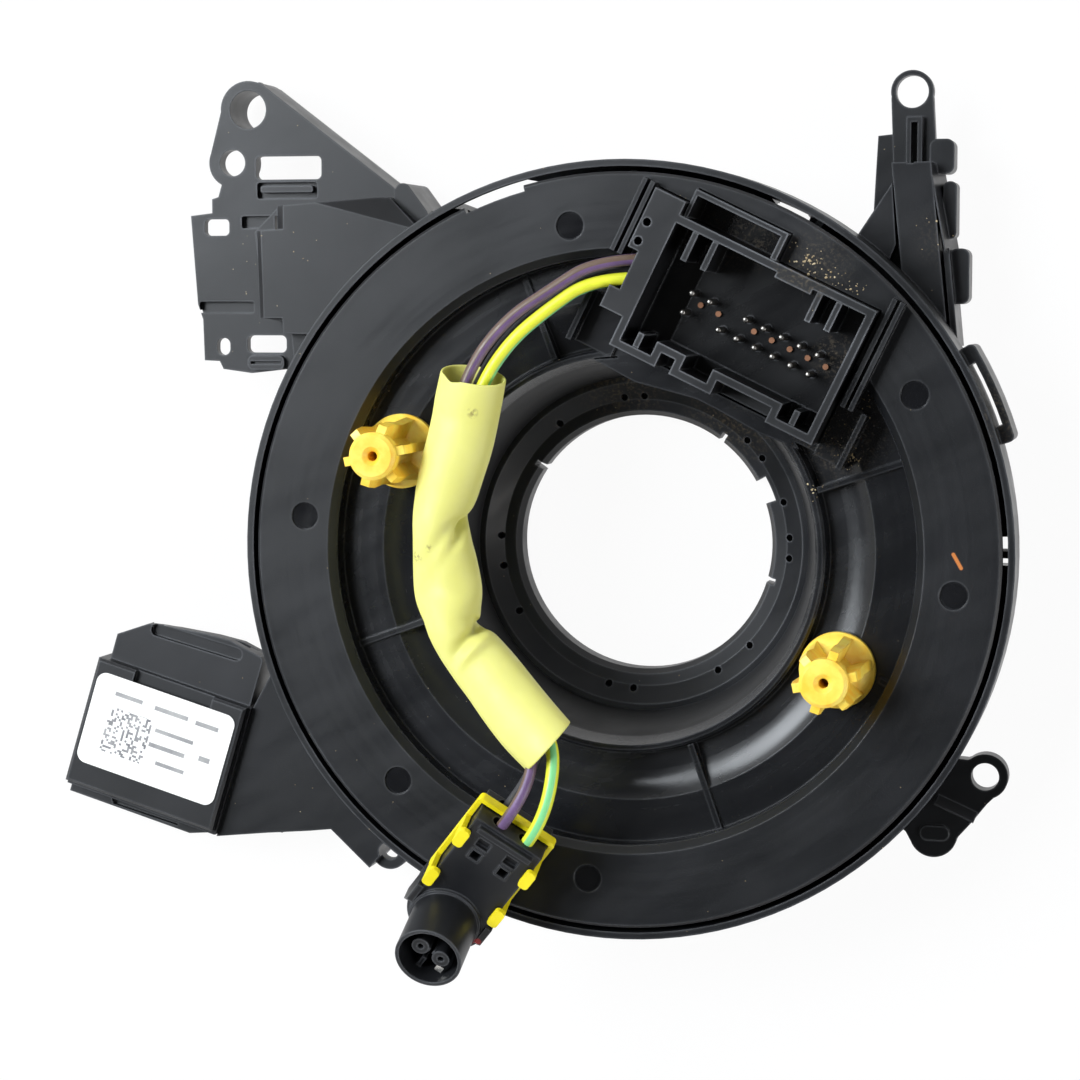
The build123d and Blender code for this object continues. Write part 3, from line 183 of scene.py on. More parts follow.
def moulding(name, look):
    finish, tree, shader = startFinish(name)
    where = objectSpace(tree)
    patches = cloud(tree, where, look["patch"], 4)
    tone = mixTone(tree, span(tree, patches, 0.35, 0.68), look["dark"], look["light"])
    slanted = placed(tree, where, turn=30, stretch=(3, 0.8, 1))
    smears = cloud(tree, slanted, look["patch"] * 0.35, 5)
    gloss = span(tree, smears, *noiseRange, *look["gloss"])
    grain = cloud(tree, where, look["grain"], 2)
    split = tree.nodes.new("ShaderNodeSeparateXYZ")
    tree.links.new(where, split.inputs[0])
    if look.get("rings"):
        # fine turned rings round the axis, and a glossier middle within a radius
        across = sums(tree, "POWER", split.outputs[0], 2.0)
        upward = sums(tree, "POWER", split.outputs[1], 2.0)
        radius = sums(tree, "SQRT", sums(tree, "ADD", across, upward))
        turned = tree.nodes.new("ShaderNodeTexNoise")
        turned.noise_dimensions = "1D"
        turned.inputs["Scale"].default_value = 1 / look["rings"]
        turned.inputs["Detail"].default_value = 4
        tree.links.new(radius, turned.inputs["W"])
        ripple = span(tree, turned.outputs["Fac"], *noiseRange, -0.02, 0.02)
        gloss = sums(tree, "ADD", gloss, ripple)
        limit, change = look["polishedWithin"]
        inside = span(tree, radius, limit, limit + 0.3 * mm, change, 0)
        gloss = sums(tree, "SUBTRACT", gloss, inside)
    if look.get("sunk"):
        # below this level the moulding is painted darker, as shade in the recesses, and its gloss
        # differs
        level, shade, change = look["sunk"]
        deep = span(tree, split.outputs[2], level, level + 0.6 * mm, 1, 0)
        tone = mixTone(tree, sums(tree, "MULTIPLY", deep, shade), tone, recessShadeTone)
        gloss = sums(tree, "ADD", gloss, sums(tree, "MULTIPLY", deep, change))
    dustNoise = cloud(tree, where, look.get("dustSize", 0.5 * mm), 5, 0.7)
    dust = span(tree, dustNoise, 0.64, 0.74, 0, look.get("dustAll", 0.06))
    if look.get("dustSpots"):
        specks = span(tree, dustNoise, 0.5, 0.62)
        heap = sums(tree, "MULTIPLY", specks, nearSpots(tree, where, look["dustSpots"]))
        heap = sums(tree, "MULTIPLY", heap, look.get("dustHeap", 0.35))
        dust = sums(tree, "MAXIMUM", dust, heap)
    # moulded edges painted lighter: partly real rubbing, partly a painted highlight along them
    if look.get("wearAndHighlight"):
        rubbedAndLit = sums(tree, "MULTIPLY", span(tree, patches, 0.4, 0.62, 0.45, 1.0), look["wearAndHighlight"])
        rubbedAndLit = sums(tree, "MULTIPLY", rubbedAndLit, wornAndLitEdges(tree, look["wornAndLitBy"]))
        tone = mixTone(tree, rubbedAndLit, tone, rubbedAndLitEdgeTone)
    tone = mixTone(tree, dust, tone, look.get("dustTone", dryDustTone))
    for marks, core, share, colour in look.get("marks", []):
        spot = sums(tree, "MULTIPLY", nearSpots(tree, where, marks, core), share)
        tone = mixTone(tree, spot, tone, colour)
    tree.links.new(tone, shader.inputs["Base Color"])
    rough = sums(tree, "ADD", gloss, sums(tree, "MULTIPLY", dust, 0.4))
    if look.get("polished"):
        smooth = sums(tree, "MULTIPLY", nearSpots(tree, where, look["polished"], 0.95), 0.2)
        rough = sums(tree, "SUBTRACT", rough, smooth)
    tree.links.new(rough, shader.inputs["Roughness"])
    shader.inputs["Specular IOR Level"].default_value = look.get("shine", 0.5)
    edgeSoftened(tree, shader, grain, grainDepth, look.get("edge", softEdge))
    return finish


def metal(name, tone, roughness, grain=0.2 * mm):
    finish, tree, shader = startFinish(name)
    where = objectSpace(tree)
    smear = cloud(tree, where, grain * 4, 4)
    darker = [c * 0.75 for c in tone]
    tree.links.new(mixTone(tree, span(tree, smear, *noiseRange), darker, tone),
                   shader.inputs["Base Color"])
    tree.links.new(span(tree, smear, *noiseRange, roughness, roughness + 0.15),
                   shader.inputs["Roughness"])
    shader.inputs["Metallic"].default_value = 1.0
    edgeSoftened(tree, shader, cloud(tree, where, grain, 2), 0.004 * mm, 0)
    return finish


# Plain mesh from points and faces, at the origin
def addMesh(name, points, faces, finish=None, smooth=True):
    mesh = bpy.data.meshes.new(name)
    mesh.from_pydata([tuple(p) for p in points], [], faces)
    mesh.update()
    if smooth:
        mesh.polygons.foreach_set("use_smooth", [True] * len(mesh.polygons))
    piece = bpy.data.objects.new(name, mesh)
    bpy.context.scene.collection.objects.link(piece)
    if finish:
        mesh.materials.append(finish)
    return piece


# Camera at the photograph's angle, a little above the lower left of straight down
view = {
    "aim": (-11.656 * mm, 1.682 * mm, 23.0 * mm),
    "tilt": 13.997,
    "turn": 19.823,
    "distance": 413.5 * mm,
    "lens": 95.8,
}


def placeCamera():
    data = bpy.data.cameras.new("camera")
    data.lens = view["lens"]
    data.sensor_width = 36
    data.clip_start = 0.01
    camera = bpy.data.objects.new("camera", data)
    bpy.context.scene.collection.objects.link(camera)
    tilt, turn = math.radians(view["tilt"]), math.radians(view["turn"])
    back = Vector((math.sin(tilt) * math.cos(turn), math.sin(tilt) * math.sin(turn), math.cos(tilt)))
    camera.location = Vector(view["aim"]) + back * view["distance"]
    upward = (Vector((0, 1, 0)) - back * back.y).normalized()
    camera.rotation_euler = Matrix((upward.cross(back), upward, back)).transposed().to_euler()
    bpy.context.scene.camera = camera


placeCamera()
print("camera in place")

# Leads: routes in mm from the wire block of the switch socket to the airbag plug
leads = {
    "wire_purple": {
        "radius": 0.82,
        "length": 102.8,
        "slot": "lead_purple",
        "route": [
            (3.2, 41.8, 25.6), (-3.0, 41.5, 26.8), (-9.0, 37.6, 27.6), (-15.4, 33.4, 28.2),
            (-20.7, 26.6, 28.6), (-23.9, 16.0, 28.7), (-26.0, 6.4, 28.8), (-26.0, -3.2, 28.9),
            (-23.4, -13.0, 29.6), (-16.8, -19.8, 32.4), (-10.0, -26.2, 35.2), (-9.6, -30.0, 37.0),
            (-11.41, -34.58, 38.59), (-14.4, -38.18, 36.84)],
    },
    "wire_yellow": {
        "radius": 0.92,
        "length": 101.6,
        "slot": "lead_yellow",
        "route": [
            (2.2, 39.1, 25.4), (-3.6, 38.9, 26.4), (-9.4, 34.9, 27.2), (-15.0, 30.2, 27.8),
            (-19.2, 23.8, 28.2), (-21.6, 15.4, 28.3), (-23.5, 6.2, 28.3), (-24.2, -2.8, 28.4),
            (-22.3, -12.2, 28.9), (-14.9, -18.4, 31.5), (-7.6, -24.2, 34.9), (-6.3, -29.0, 36.7),
            (-7.97, -36.96, 37.6), (-10.96, -40.56, 35.85)],
    },
    "wire_grey": {
        "radius": 0.72,
        "length": 97.8,
        "slot": "lead_grey",
        "route": [
            (2.6, 40.4, 23.6), (-3.4, 40.2, 24.4), (-9.2, 36.2, 25.4), (-15.2, 31.6, 26.0),
            (-20.0, 25.0, 26.2), (-22.6, 15.8, 26.2), (-24.6, 6.3, 26.2), (-24.6, -3.0, 26.3),
            (-22.0, -12.2, 27.0), (-15.5, -18.8, 29.6), (-9.4, -25.2, 32.6), (-9.6, -28.6, 34.4),
            (-11.65, -32.6, 34.77), (-14.64, -36.2, 33.02)],
    },
}


def leadFinish(name, look):
    # coloured insulation, with a stripe along the lead where it has one
    finish, tree, shader = startFinish(name)
    where = objectSpace(tree)
    patches = span(tree, cloud(tree, where, 2.5 * mm, 4), *noiseRange)
    tone = mixTone(tree, patches, look["shade"], look["tone"])
    if look.get("stripe"):
        split = tree.nodes.new("ShaderNodeSeparateXYZ")
        tree.links.new(tree.nodes.new("ShaderNodeTexCoord").outputs["UV"], split.inputs[0])
        # its place round the lead, from the first end to the last
        first, last = look["stripeAt"]
        middle = span(tree, split.outputs[0], 0, 1, first, last)
        offset = sums(tree, "ABSOLUTE", sums(tree, "SUBTRACT", split.outputs[1], middle))
        offset = sums(tree, "MINIMUM", offset, sums(tree, "SUBTRACT", 1.0, offset))
        line = span(tree, offset, look["stripeHalf"], look["stripeHalf"] + 0.02, 1, 0)
        tone = mixTone(tree, line, tone, look["stripe"])
    tree.links.new(tone, shader.inputs["Base Color"])
    tree.links.new(span(tree, cloud(tree, where, 1.2 * mm, 3), *noiseRange, 0.32, 0.5),
                   shader.inputs["Roughness"])
    edgeSoftened(tree, shader, cloud(tree, where, 0.25 * mm, 2), 0.006 * mm, 0)
    return finish


leadLooks = {
    "wire_purple": {"tone": (0.17, 0.1, 0.22), "shade": (0.12, 0.07, 0.155),
                    "stripe": (0.13, 0.085, 0.06), "stripeAt": (0.28, 0.34), "stripeHalf": 0.09},
    "wire_yellow": {"tone": (0.8, 0.83, 0.04), "shade": (0.7, 0.73, 0.04),
                    "stripe": (0.22, 0.66, 0.26), "stripeAt": (-0.09, 0.156), "stripeHalf": 0.075},
    "wire_grey": {"tone": (0.055, 0.055, 0.06), "shade": (0.03, 0.03, 0.033)},
}


def runLead(name, lead):
    curve = bpy.data.curves.new(name + "_lead", "CURVE")
    curve.dimensions = "3D"
    curve.resolution_u = 12
    curve.bevel_depth = lead["radius"] * mm
    curve.bevel_resolution = 6
    curve.use_fill_caps = True
    spline = curve.splines.new("NURBS")
    spline.points.add(len(lead["route"]) - 1)
    for point, place in zip(spline.points, lead["route"]):
        point.co = (*[c * mm for c in place], 1)
    spline.order_u = 3
    spline.use_endpoint_u = True
    piece = bpy.data.objects.new(name + "_lead", curve)
    bpy.context.scene.collection.objects.link(piece)
    curve.materials.append(leadFinish(name + "_insulation", leadLooks[name]))
    return piece


# The sleeve over the leads: thin soft tube with slanted ends, flattened here and there,
# with two deep creases and a few slight ones. Lengths are in mm, angles in degrees.
sleeve = {
    "radius": 4.35,
    "wall": 0.35,
    "rings": 150,
    "around": 64,
    "steps": 600,
    "slant": 1.05,
    "overhang": 1.7,
    "nick": {"depth": 0.5, "around": 118, "reach": 14},
    # middle of the tube, half its width across, and the way across in degrees
    "stations": [
        (-20.1, 25.5, 28.3, 4.75, -16), (-20.9, 21.6, 28.3, 4.85, -16), (-22.0, 16.3, 28.3, 4.8, -10),
        (-23.2, 12.2, 28.3, 4.7, -5), (-24.3, 8.0, 28.3, 4.4, 0), (-25.0, 5.1, 28.3, 3.95, 3),
        (-24.8, 1.8, 28.3, 4.2, 2), (-24.4, -1.3, 28.3, 4.65, 1), (-24.0, -4.4, 28.4, 4.95, 2),
        (-23.7, -6.5, 28.6, 4.85, 5), (-23.3, -8.6, 29.0, 4.3, 11), (-22.8, -10.6, 29.4, 3.75, 19),
        (-21.3, -12.7, 29.6, 4.0, 26), (-18.9, -15.2, 30.2, 4.4, 32), (-16.5, -17.6, 31.2, 4.55, 34),
        (-13.7, -20.7, 32.3, 4.7, 35), (-10.8, -23.6, 33.6, 4.75, 37), (-7.6, -26.4, 34.9, 4.62, 40)],
    # along the tube, at what angle from the right edge, how deep, how wide along it,
    # how far round it, and how much it slants per degree
    "creases": [
        {"along": 21.6, "around": 8, "depth": 1.8, "width": 1.2, "reach": 42, "slope": 0.075},
        {"along": 23.0, "around": 60, "depth": 0.5, "width": 1.3, "reach": 55, "slope": 0.06},
        {"along": 39.2, "around": 6, "depth": 1.75, "width": 1.2, "reach": 38, "slope": 0.025},
        {"along": 40.3, "around": 72, "depth": 1.0, "width": 1.0, "reach": 36, "slope": 0.02},
        {"along": 42.6, "around": 66, "depth": -0.75, "width": 1.0, "reach": 46, "slope": 0.01},
        {"along": 30.5, "around": 120, "depth": 0.3, "width": 3.0, "reach": 45, "slope": 0.09},
        {"along": 6.5, "around": 105, "depth": 0.22, "width": 1.6, "reach": 60, "slope": 0.0},
    ],
}


def smoothStep(values, share):
    # one value of a Catmull-Rom line through the list, share from 0 to 1
    place = share * (len(values) - 1)
    k = min(int(place), len(values) - 2)
    t = place - k
    a, b = values[max(k - 1, 0)], values[k]
    c, d = values[k + 1], values[min(k + 2, len(values) - 1)]
    square = (2 * a - 5 * b + 4 * c - d) * t * t
    cube = (3 * b - a - 3 * c + d) * t ** 3
    return 0.5 * (2 * b + (c - a) * t + square + cube)


def buildSleeve(finish):
    columns = list(zip(*sleeve["stations"]))
    steps = sleeve["steps"]
    fine = [[smoothStep(column, k / steps) for column in columns] for k in range(steps + 1)]
    walked = [0.0]
    for a, b in zip(fine, fine[1:]):
        walked.append(walked[-1] + math.dist(a[:3], b[:3]))
    total = walked[-1]

    def section(distance):
        # station values at a distance along the tube, run on straight past the ends
        extra = min(distance, 0) if distance < 0 else max(distance - total, 0)
        distance = min(max(distance, 0), total)
        low, high = 0, len(walked) - 1
        while high - low > 1:
            k = (low + high) // 2
            low, high = (k, high) if walked[k] <= distance else (low, k)
        a, b = fine[low], fine[low + 1]
        t = (distance - walked[low]) / max(walked[low + 1] - walked[low], 1e-9)
        row = [p + (q - p) * t for p, q in zip(a, b)]
        ahead = Vector(b[:3]) - Vector(a[:3])
        ahead.normalize()
        return Vector(row[:3]) + ahead * extra, row[3], row[4], ahead

    points = []
    around = sleeve["around"]
    nick = sleeve["nick"]
    for ring in range(sleeve["rings"] + 1):
        for k in range(around):
            angle = 2 * math.pi * k / around
            turn = math.degrees(angle)
            begin = sleeve["slant"] * math.sin(angle)
            begin += nick["depth"] * math.exp(-((turn - nick["around"]) / nick["reach"]) ** 2)
            end = total + sleeve["overhang"] * math.sin(angle)
            distance = begin + (end - begin) * ring / sleeve["rings"]
            middle, half, heading, ahead = section(distance)
            heading = math.radians(heading)
            across = Vector((math.cos(heading), math.sin(heading), 0))
            across = (across - ahead * across.dot(ahead)).normalized()
            up = across.cross(ahead) * -1
            if up.z < 0:
                up = -up
            # where the tube is wider it is flatter
            rise = math.sqrt(max(2 * sleeve["radius"] ** 2 - half ** 2, 1))
            place = middle + across * (half * math.cos(angle)) + up * (rise * math.sin(angle))
            inward = (middle - place).normalized()
            push = 0
            for crease in sleeve["creases"]:
                gap = (turn - crease["around"] + 180) % 360 - 180
                along = crease["along"] + crease["slope"] * gap
                share = math.exp(-(gap / crease["reach"]) ** 2)
                nearness = math.exp(-((distance - along) / crease["width"]) ** 2)
                push += crease["depth"] * share * nearness
            points.append((place + inward * push) * mm)
    faces = []
    for ring in range(sleeve["rings"]):
        for k in range(around):
            a, b = ring * around + k, ring * around + (k + 1) % around
            faces.append((a, b, b + around, a + around))
    piece = addMesh("sleeve_tube", points, faces, finish)
    # turn the faces outward, away from the middle of the tube
    first = piece.data.polygons[0]
    middle = section(0)[0] * mm
    if first.normal.dot(first.center - middle) < 0:
        piece.data.flip_normals()
    wall = piece.modifiers.new("wall", "SOLIDIFY")
    wall.thickness = sleeve["wall"] * mm
    wall.offset = -1
    soft = piece.modifiers.new("soft", "SUBSURF")
    soft.levels = soft.render_levels = 1
    return piece


film = {
    "tone": (0.77, 0.74, 0.22),
    "shade": (0.71, 0.68, 0.18),
    "dirt": (0.16, 0.1, 0.04),
    "dirtSpots": [(-19.3, 20.2, 32, 1.0), (-27.6, -0.4, 31, 1.2), (-25.6, 0.9, 32.6, 0.8)],
}


def sleeveFinish():
    finish, tree, shader = startFinish("sleeve_film")
    where = objectSpace(tree)
    patches = span(tree, cloud(tree, where, 9 * mm, 4), *noiseRange)
    base = mixTone(tree, patches, film["shade"], film["tone"])
    marks = nearSpots(tree, where, film["dirtSpots"])
    dirt = sums(tree, "MULTIPLY", marks, span(tree, cloud(tree, where, 0.5 * mm, 4), 0.45, 0.6))
    tree.links.new(mixTone(tree, sums(tree, "MULTIPLY", dirt, 0.8), base, film["dirt"]),
                   shader.inputs["Base Color"])
    tree.links.new(span(tree, cloud(tree, where, 3 * mm, 4), *noiseRange, 0.48, 0.62),
                   shader.inputs["Roughness"])
    shader.inputs["Subsurface Weight"].default_value = 0.25
    shader.inputs["Subsurface Radius"].default_value = (1.0, 0.9, 0.3)
    shader.inputs["Subsurface Scale"].default_value = 0.8 * mm
    edgeSoftened(tree, shader, cloud(tree, where, 0.8 * mm, 3), 0.02 * mm, 0)
    return finish


leadPieces = {name: runLead(name, lead) for name, lead in leads.items()}
sleevePiece = buildSleeve(sleeveFinish())
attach(sleevePiece, "turning_side")
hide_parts("wire_sleeve")
for name, piece in leadPieces.items():
    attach(piece, "turning_side")
    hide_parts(name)
print("leads and sleeve laid")

# Marks on single mouldings: the ejector marks and an orange splinter on the disc,
# and a red dab of paint beside the barrel of the plug
ejectorMarks = [(x, y, 23.25, 2.05) for x, y in
                [(41.9, 22.9), (-7.2, 46.6), (-46.9, 4.6), (-32.9, -34.0), (-4.5, -47.2), (47.6, -5.0)]]
splinter = [(47.5 + 0.12 * k, 0.8 - 0.21 * k, 23.5, 0.32) for k in range(10)]  # a row of dots
redDab = [(-19.0, -55.5, 30.8, 0.7), (-19.5, -56.1, 30.5, 0.6)]

# Finishes of the moulded parts: spots are (x, y, z, radius) in mm, other sizes in metres.
# "sunk" is a level with how much darker, as painted shade in the recesses, and rougher it is below, and
# each of "marks" is its spots, their core, how strongly they cover, and their tone.
blackLook = {"dark": (0.0075, 0.008, 0.0092), "light": (0.013, 0.0135, 0.0155),
             "patch": 14 * mm, "gloss": (0.3, 0.44), "grain": 0.16 * mm, "shine": 0.38,
             "wearAndHighlight": 0.4, "wornAndLitBy": 0.45 * mm}
looks = {
    "stator_case": {**blackLook, "gloss": (0.3, 0.42), "dustSpots": [(57, 22, 20, 9), (45, 45, 20, 8)]},
    "rear_cover": {**blackLook, "gloss": (0.38, 0.5)},
    "rotor": {**blackLook,
              "gloss": (0.3, 0.42), "rings": 1.1 * mm, "polished": ejectorMarks, "wearAndHighlight": 0.25,
              "polishedWithin": (42.4 * mm, 0.12), "sunk": (16.4 * mm, 0.5, 0.25),
              # the ejector marks are also painted darker: a painted dark reflection of their polished
              # floors
              "marks": [(ejectorMarks, 0.95, 0.55, (0.004, 0.004, 0.005)),
                        (splinter, 0.6, 0.9, (0.6, 0.2, 0.05))],
              "dustHeap": 0.22, "dustSpots": [(31, 17, 18, 8), (20, 26, 20, 7), (28, 41, 23, 6)]},
    "lock_ring": {**blackLook, "gloss": (0.3, 0.45), "shine": 0.25,
                  "dustSpots": [(14, 20, 5, 9), (-3, 24, 6, 8)]},
    "socket_housing": {**blackLook, "gloss": (0.34, 0.46), "dustAll": 0.12, "wearAndHighlight": 0.9,
                       "sunk": (18.4 * mm, 0.5, -0.12),
                       "dustSpots": [(27, 40, 27, 6), (13, 47.2, 16.8, 8),
                                     (17, 45, 16.8, 6), (30, 28, 17, 4)]},
    "rotor_terminal": blackLook,
    "stator_terminal": blackLook,
    "sensor_case": {**blackLook, "light": (0.016, 0.0165, 0.019), "gloss": (0.36, 0.48)},
    "sensor_cover": {**blackLook, "gloss": (0.4, 0.5)},
    "plug_body": {**blackLook, "gloss": (0.36, 0.46),
                  "marks": [(redDab, 0.6, 0.9, (0.42, 0.02, 0.02))]},
    "plug_lock": {"dark": (0.86, 0.7, 0.008), "light": (0.95, 0.8, 0.012), "patch": 5 * mm,
                  "gloss": (0.35, 0.45), "grain": 0.2 * mm, "dustAll": 0.05},
    "drive_pin_left": {"dark": (0.97, 0.57, 0.04), "light": (1.0, 0.78, 0.13), "patch": 2.6 * mm,
                       "gloss": (0.35, 0.5), "grain": 0.2 * mm, "dustAll": 0.4, "dustSize": 1.2 * mm,
                       "dustTone": (0.3, 0.14, 0.02)},
    "sensor_board": {"dark": (0.012, 0.09, 0.03), "light": (0.02, 0.13, 0.045), "patch": 4 * mm,
                     "gloss": (0.25, 0.35), "grain": 0.3 * mm},
    "ribbon_cable": {"dark": (0.28, 0.22, 0.14), "light": (0.38, 0.31, 0.2), "patch": 6 * mm,
                     "gloss": (0.25, 0.35), "grain": 0.4 * mm},
}
looks["drive_pin_right"] = looks["drive_pin_left"]
metals = {
    "socket_pins": ((0.42, 0.4, 0.37), 0.3),
    "harness_pins": ((0.72, 0.7, 0.66), 0.3),
    "sensor_pins": ((0.72, 0.7, 0.66), 0.3),
    "plug_contacts": ((0.75, 0.6, 0.35), 0.28),
    "contact_studs": ((0.3, 0.15, 0.09), 0.42),
    "plug_spring": ((0.8, 0.78, 0.74), 0.2),
}


def dress(name, finish):
    for place in nodes[name].material_slots:
        place.material = finish


for name, look in looks.items():
    dress(name, moulding(name + "_finish", look))
for name, (tone, roughness) in metals.items():
    dress(name, metal(name + "_finish", tone, roughness))

# Crumbs of dry dirt scattered over the upward faces, thicker near the listed spots.
# "sparse" and "heaped" count the crumbs on a square metre of clean and of dirty ground.
crumbs = {
    "sizes": (0.16 * mm, 0.62 * mm),
    "upward": 0.6,
    "slimmest": (0.5, 0.4, 0.3),
    "widest": (1.3, 1.0, 0.7),
    "turnMost": (0.4, 0.4, 6.283),
    "tone": {"dark": (0.3, 0.21, 0.1), "light": (0.7, 0.58, 0.38), "patch": 1.2 * mm,
             "gloss": (0.7, 0.85), "grain": 0.1 * mm, "edge": 0},
    "housing": {"body": "housing", "over": ["stator_case", "sensor_case", "sensor_cover"], "seed": 5,
                "sparse": 9e3, "heaped": 5e5, "spots": [(45, 45, 12, 7), (-55, 42, 13, 9)]},
    "disc": {"body": "turning_side", "over": ["rotor", "socket_housing", "lock_ring"], "seed": 12,
             "sparse": 5e3, "heaped": 4.2e6,
             "spots": [(24.6, 42.2, 23, 3), (27, 40.8, 23, 3), (30, 39.2, 23, 2.6),
                       (33.5, 37.4, 23, 2.2), (32, 14, 19, 3), (31, 17, 19, 3), (34, 21, 19, 2.5),
                       (9, 48, 24, 3), (-24, 24, 22, 2), (27, 9.5, 19, 2.5), (-9, 22.5, 19, 2)]},
}


def gritTree(spots):
    # named inputs: density on clean and on dirty ground, crumb sizes, seed and finish
    tree = bpy.data.node_groups.new("grit", "GeometryNodeTree")
    face = tree.interface
    face.new_socket("Ground", in_out="INPUT", socket_type="NodeSocketGeometry")
    for label, kind in (("Sparse", "Float"), ("Heaped", "Float"), ("Smallest", "Float"),
                        ("Largest", "Float"), ("Seed", "Int"), ("Finish", "Material")):
        face.new_socket(label, in_out="INPUT", socket_type="NodeSocket" + kind)
    face.new_socket("Crumbs", in_out="OUTPUT", socket_type="NodeSocketGeometry")
    new, link = tree.nodes.new, tree.links.new
    given = new("NodeGroupInput").outputs
    where = new("GeometryNodeInputPosition").outputs[0]
    facing = new("ShaderNodeSeparateXYZ")
    link(new("GeometryNodeInputNormal").outputs[0], facing.inputs[0])
    scatter = new("GeometryNodeDistributePointsOnFaces")
    link(given["Ground"], scatter.inputs["Mesh"])
    link(sums(tree, "GREATER_THAN", facing.outputs[2], crumbs["upward"]),
         scatter.inputs["Selection"])
    link(given["Heaped"], scatter.inputs["Density"])
    link(given["Seed"], scatter.inputs["Seed"])
    # the points are spread evenly, then most of those off the dirty spots are taken out
    patches = span(tree, cloud(tree, where, 2 * mm, 3), 0.3, 0.6)
    heap = sums(tree, "MULTIPLY", nearSpots(tree, where, spots), patches)
    kept = sums(tree, "ADD", heap, sums(tree, "DIVIDE", given["Sparse"], given["Heaped"]))
    chance = new("FunctionNodeRandomValue")
    link(given["Seed"], chance.inputs["Seed"])
    thinned = new("GeometryNodeDeleteGeometry")
    link(scatter.outputs["Points"], thinned.inputs["Geometry"])
    link(sums(tree, "GREATER_THAN", chance.outputs[1], kept), thinned.inputs["Selection"])
    size = new("FunctionNodeRandomValue")
    link(given["Smallest"], size.inputs[2])
    link(given["Largest"], size.inputs[3])
    link(given["Seed"], size.inputs["Seed"])
    shape = new("FunctionNodeRandomValue")
    shape.data_type = "FLOAT_VECTOR"
    shape.inputs[0].default_value = crumbs["slimmest"]
    shape.inputs[1].default_value = crumbs["widest"]
    grow = new("ShaderNodeVectorMath")
    grow.operation = "SCALE"
    link(shape.outputs[0], grow.inputs[0])
    link(size.outputs[1], grow.inputs["Scale"])
    turn = new("FunctionNodeRandomValue")
    turn.data_type = "FLOAT_VECTOR"
    turn.inputs[1].default_value = crumbs["turnMost"]
    crumb = new("GeometryNodeMeshIcoSphere")
    crumb.inputs["Radius"].default_value = 0.5
    crumb.inputs["Subdivisions"].default_value = 1
    place = new("GeometryNodeInstanceOnPoints")
    link(thinned.outputs[0], place.inputs["Points"])
    link(crumb.outputs["Mesh"], place.inputs["Instance"])
    link(turn.outputs[0], place.inputs["Rotation"])
    link(grow.outputs[0], place.inputs["Scale"])
    real = new("GeometryNodeRealizeInstances")
    link(place.outputs[0], real.inputs[0])
    coat = new("GeometryNodeSetMaterial")
    link(real.outputs[0], coat.inputs["Geometry"])
    link(given["Finish"], coat.inputs["Material"])
    link(coat.outputs[0], new("NodeGroupOutput").inputs[0])
    return tree


def scatterCrumbs(name, rule, finish):
    points, faces = [], []
    for source in rule["over"]:
        ground = nodes[source]
        first = len(points)
        points += [ground.matrix_world @ v.co for v in ground.data.vertices]
        faces += [[first + k for k in f.vertices] for f in ground.data.polygons]
    piece = addMesh(name, points, faces, smooth=False)
    piece.data.materials.append(finish)
    tree = gritTree(rule["spots"])
    smallest, largest = crumbs["sizes"]
    values = {"Sparse": rule["sparse"], "Heaped": rule["heaped"], "Smallest": smallest,
              "Largest": largest, "Seed": rule["seed"], "Finish": finish}
    grit = piece.modifiers.new("grit", "NODES")
    grit.node_group = tree
    for item in tree.interface.items_tree:
        if item.in_out == "INPUT" and item.name in values:
            grit[item.identifier] = values[item.name]
    shown = piece.evaluated_get(bpy.context.evaluated_depsgraph_get())
    mesh = bpy.data.meshes.new_from_object(shown)
    piece.modifiers.clear()
    piece.data = mesh
    print(name, len(mesh.polygons), "faces")
    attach(piece, rule["body"])


gritFinish = moulding("dry_dirt", crumbs["tone"])
for name in ("housing", "disc"):
    scatterCrumbs("crumbs_" + name, crumbs[name], gritFinish)

# Label of the sensor module, in mm from its middle: a field of random cells at the left
# and plain bars for the print
labelLook = {
    "middle": (-75.0, -31.05),
    "turn": -16.8,
    "paper": (0.96, 0.94, 0.9),
    "ink": (0.1, 0.1, 0.115),
    "field": (-8.3, -4.6, 7.2),  # left edge, lower edge and size of the matrix field
    "cell": 0.36,
    "cellLimit": 0.6,  # cells whose random value is above this are dark
    "cellInk": 0.95,
    "barInk": 0.82,
    # middle, level, half length and half height of each bar
    "bars": [(-5.8, 4.7, 2.3, 0.32), (1.4, 4.6, 2.8, 0.34), (7.4, 4.5, 1.9, 0.34),
             (2.8, 1.3, 3.2, 0.3), (2.2, -1.1, 3.0, 0.34), (8.4, -0.6, 0.9, 0.4),
             (3.4, -3.6, 2.4, 0.3)],
}


def insideBox(tree, x, y, left, lower, right, upper):
    share = sums(tree, "GREATER_THAN", x, left * mm)
    sides = (("LESS_THAN", x, right), ("GREATER_THAN", y, lower), ("LESS_THAN", y, upper))
    for operation, value, limit in sides:
        share = sums(tree, "MULTIPLY", share, sums(tree, operation, value, limit * mm))
    return share


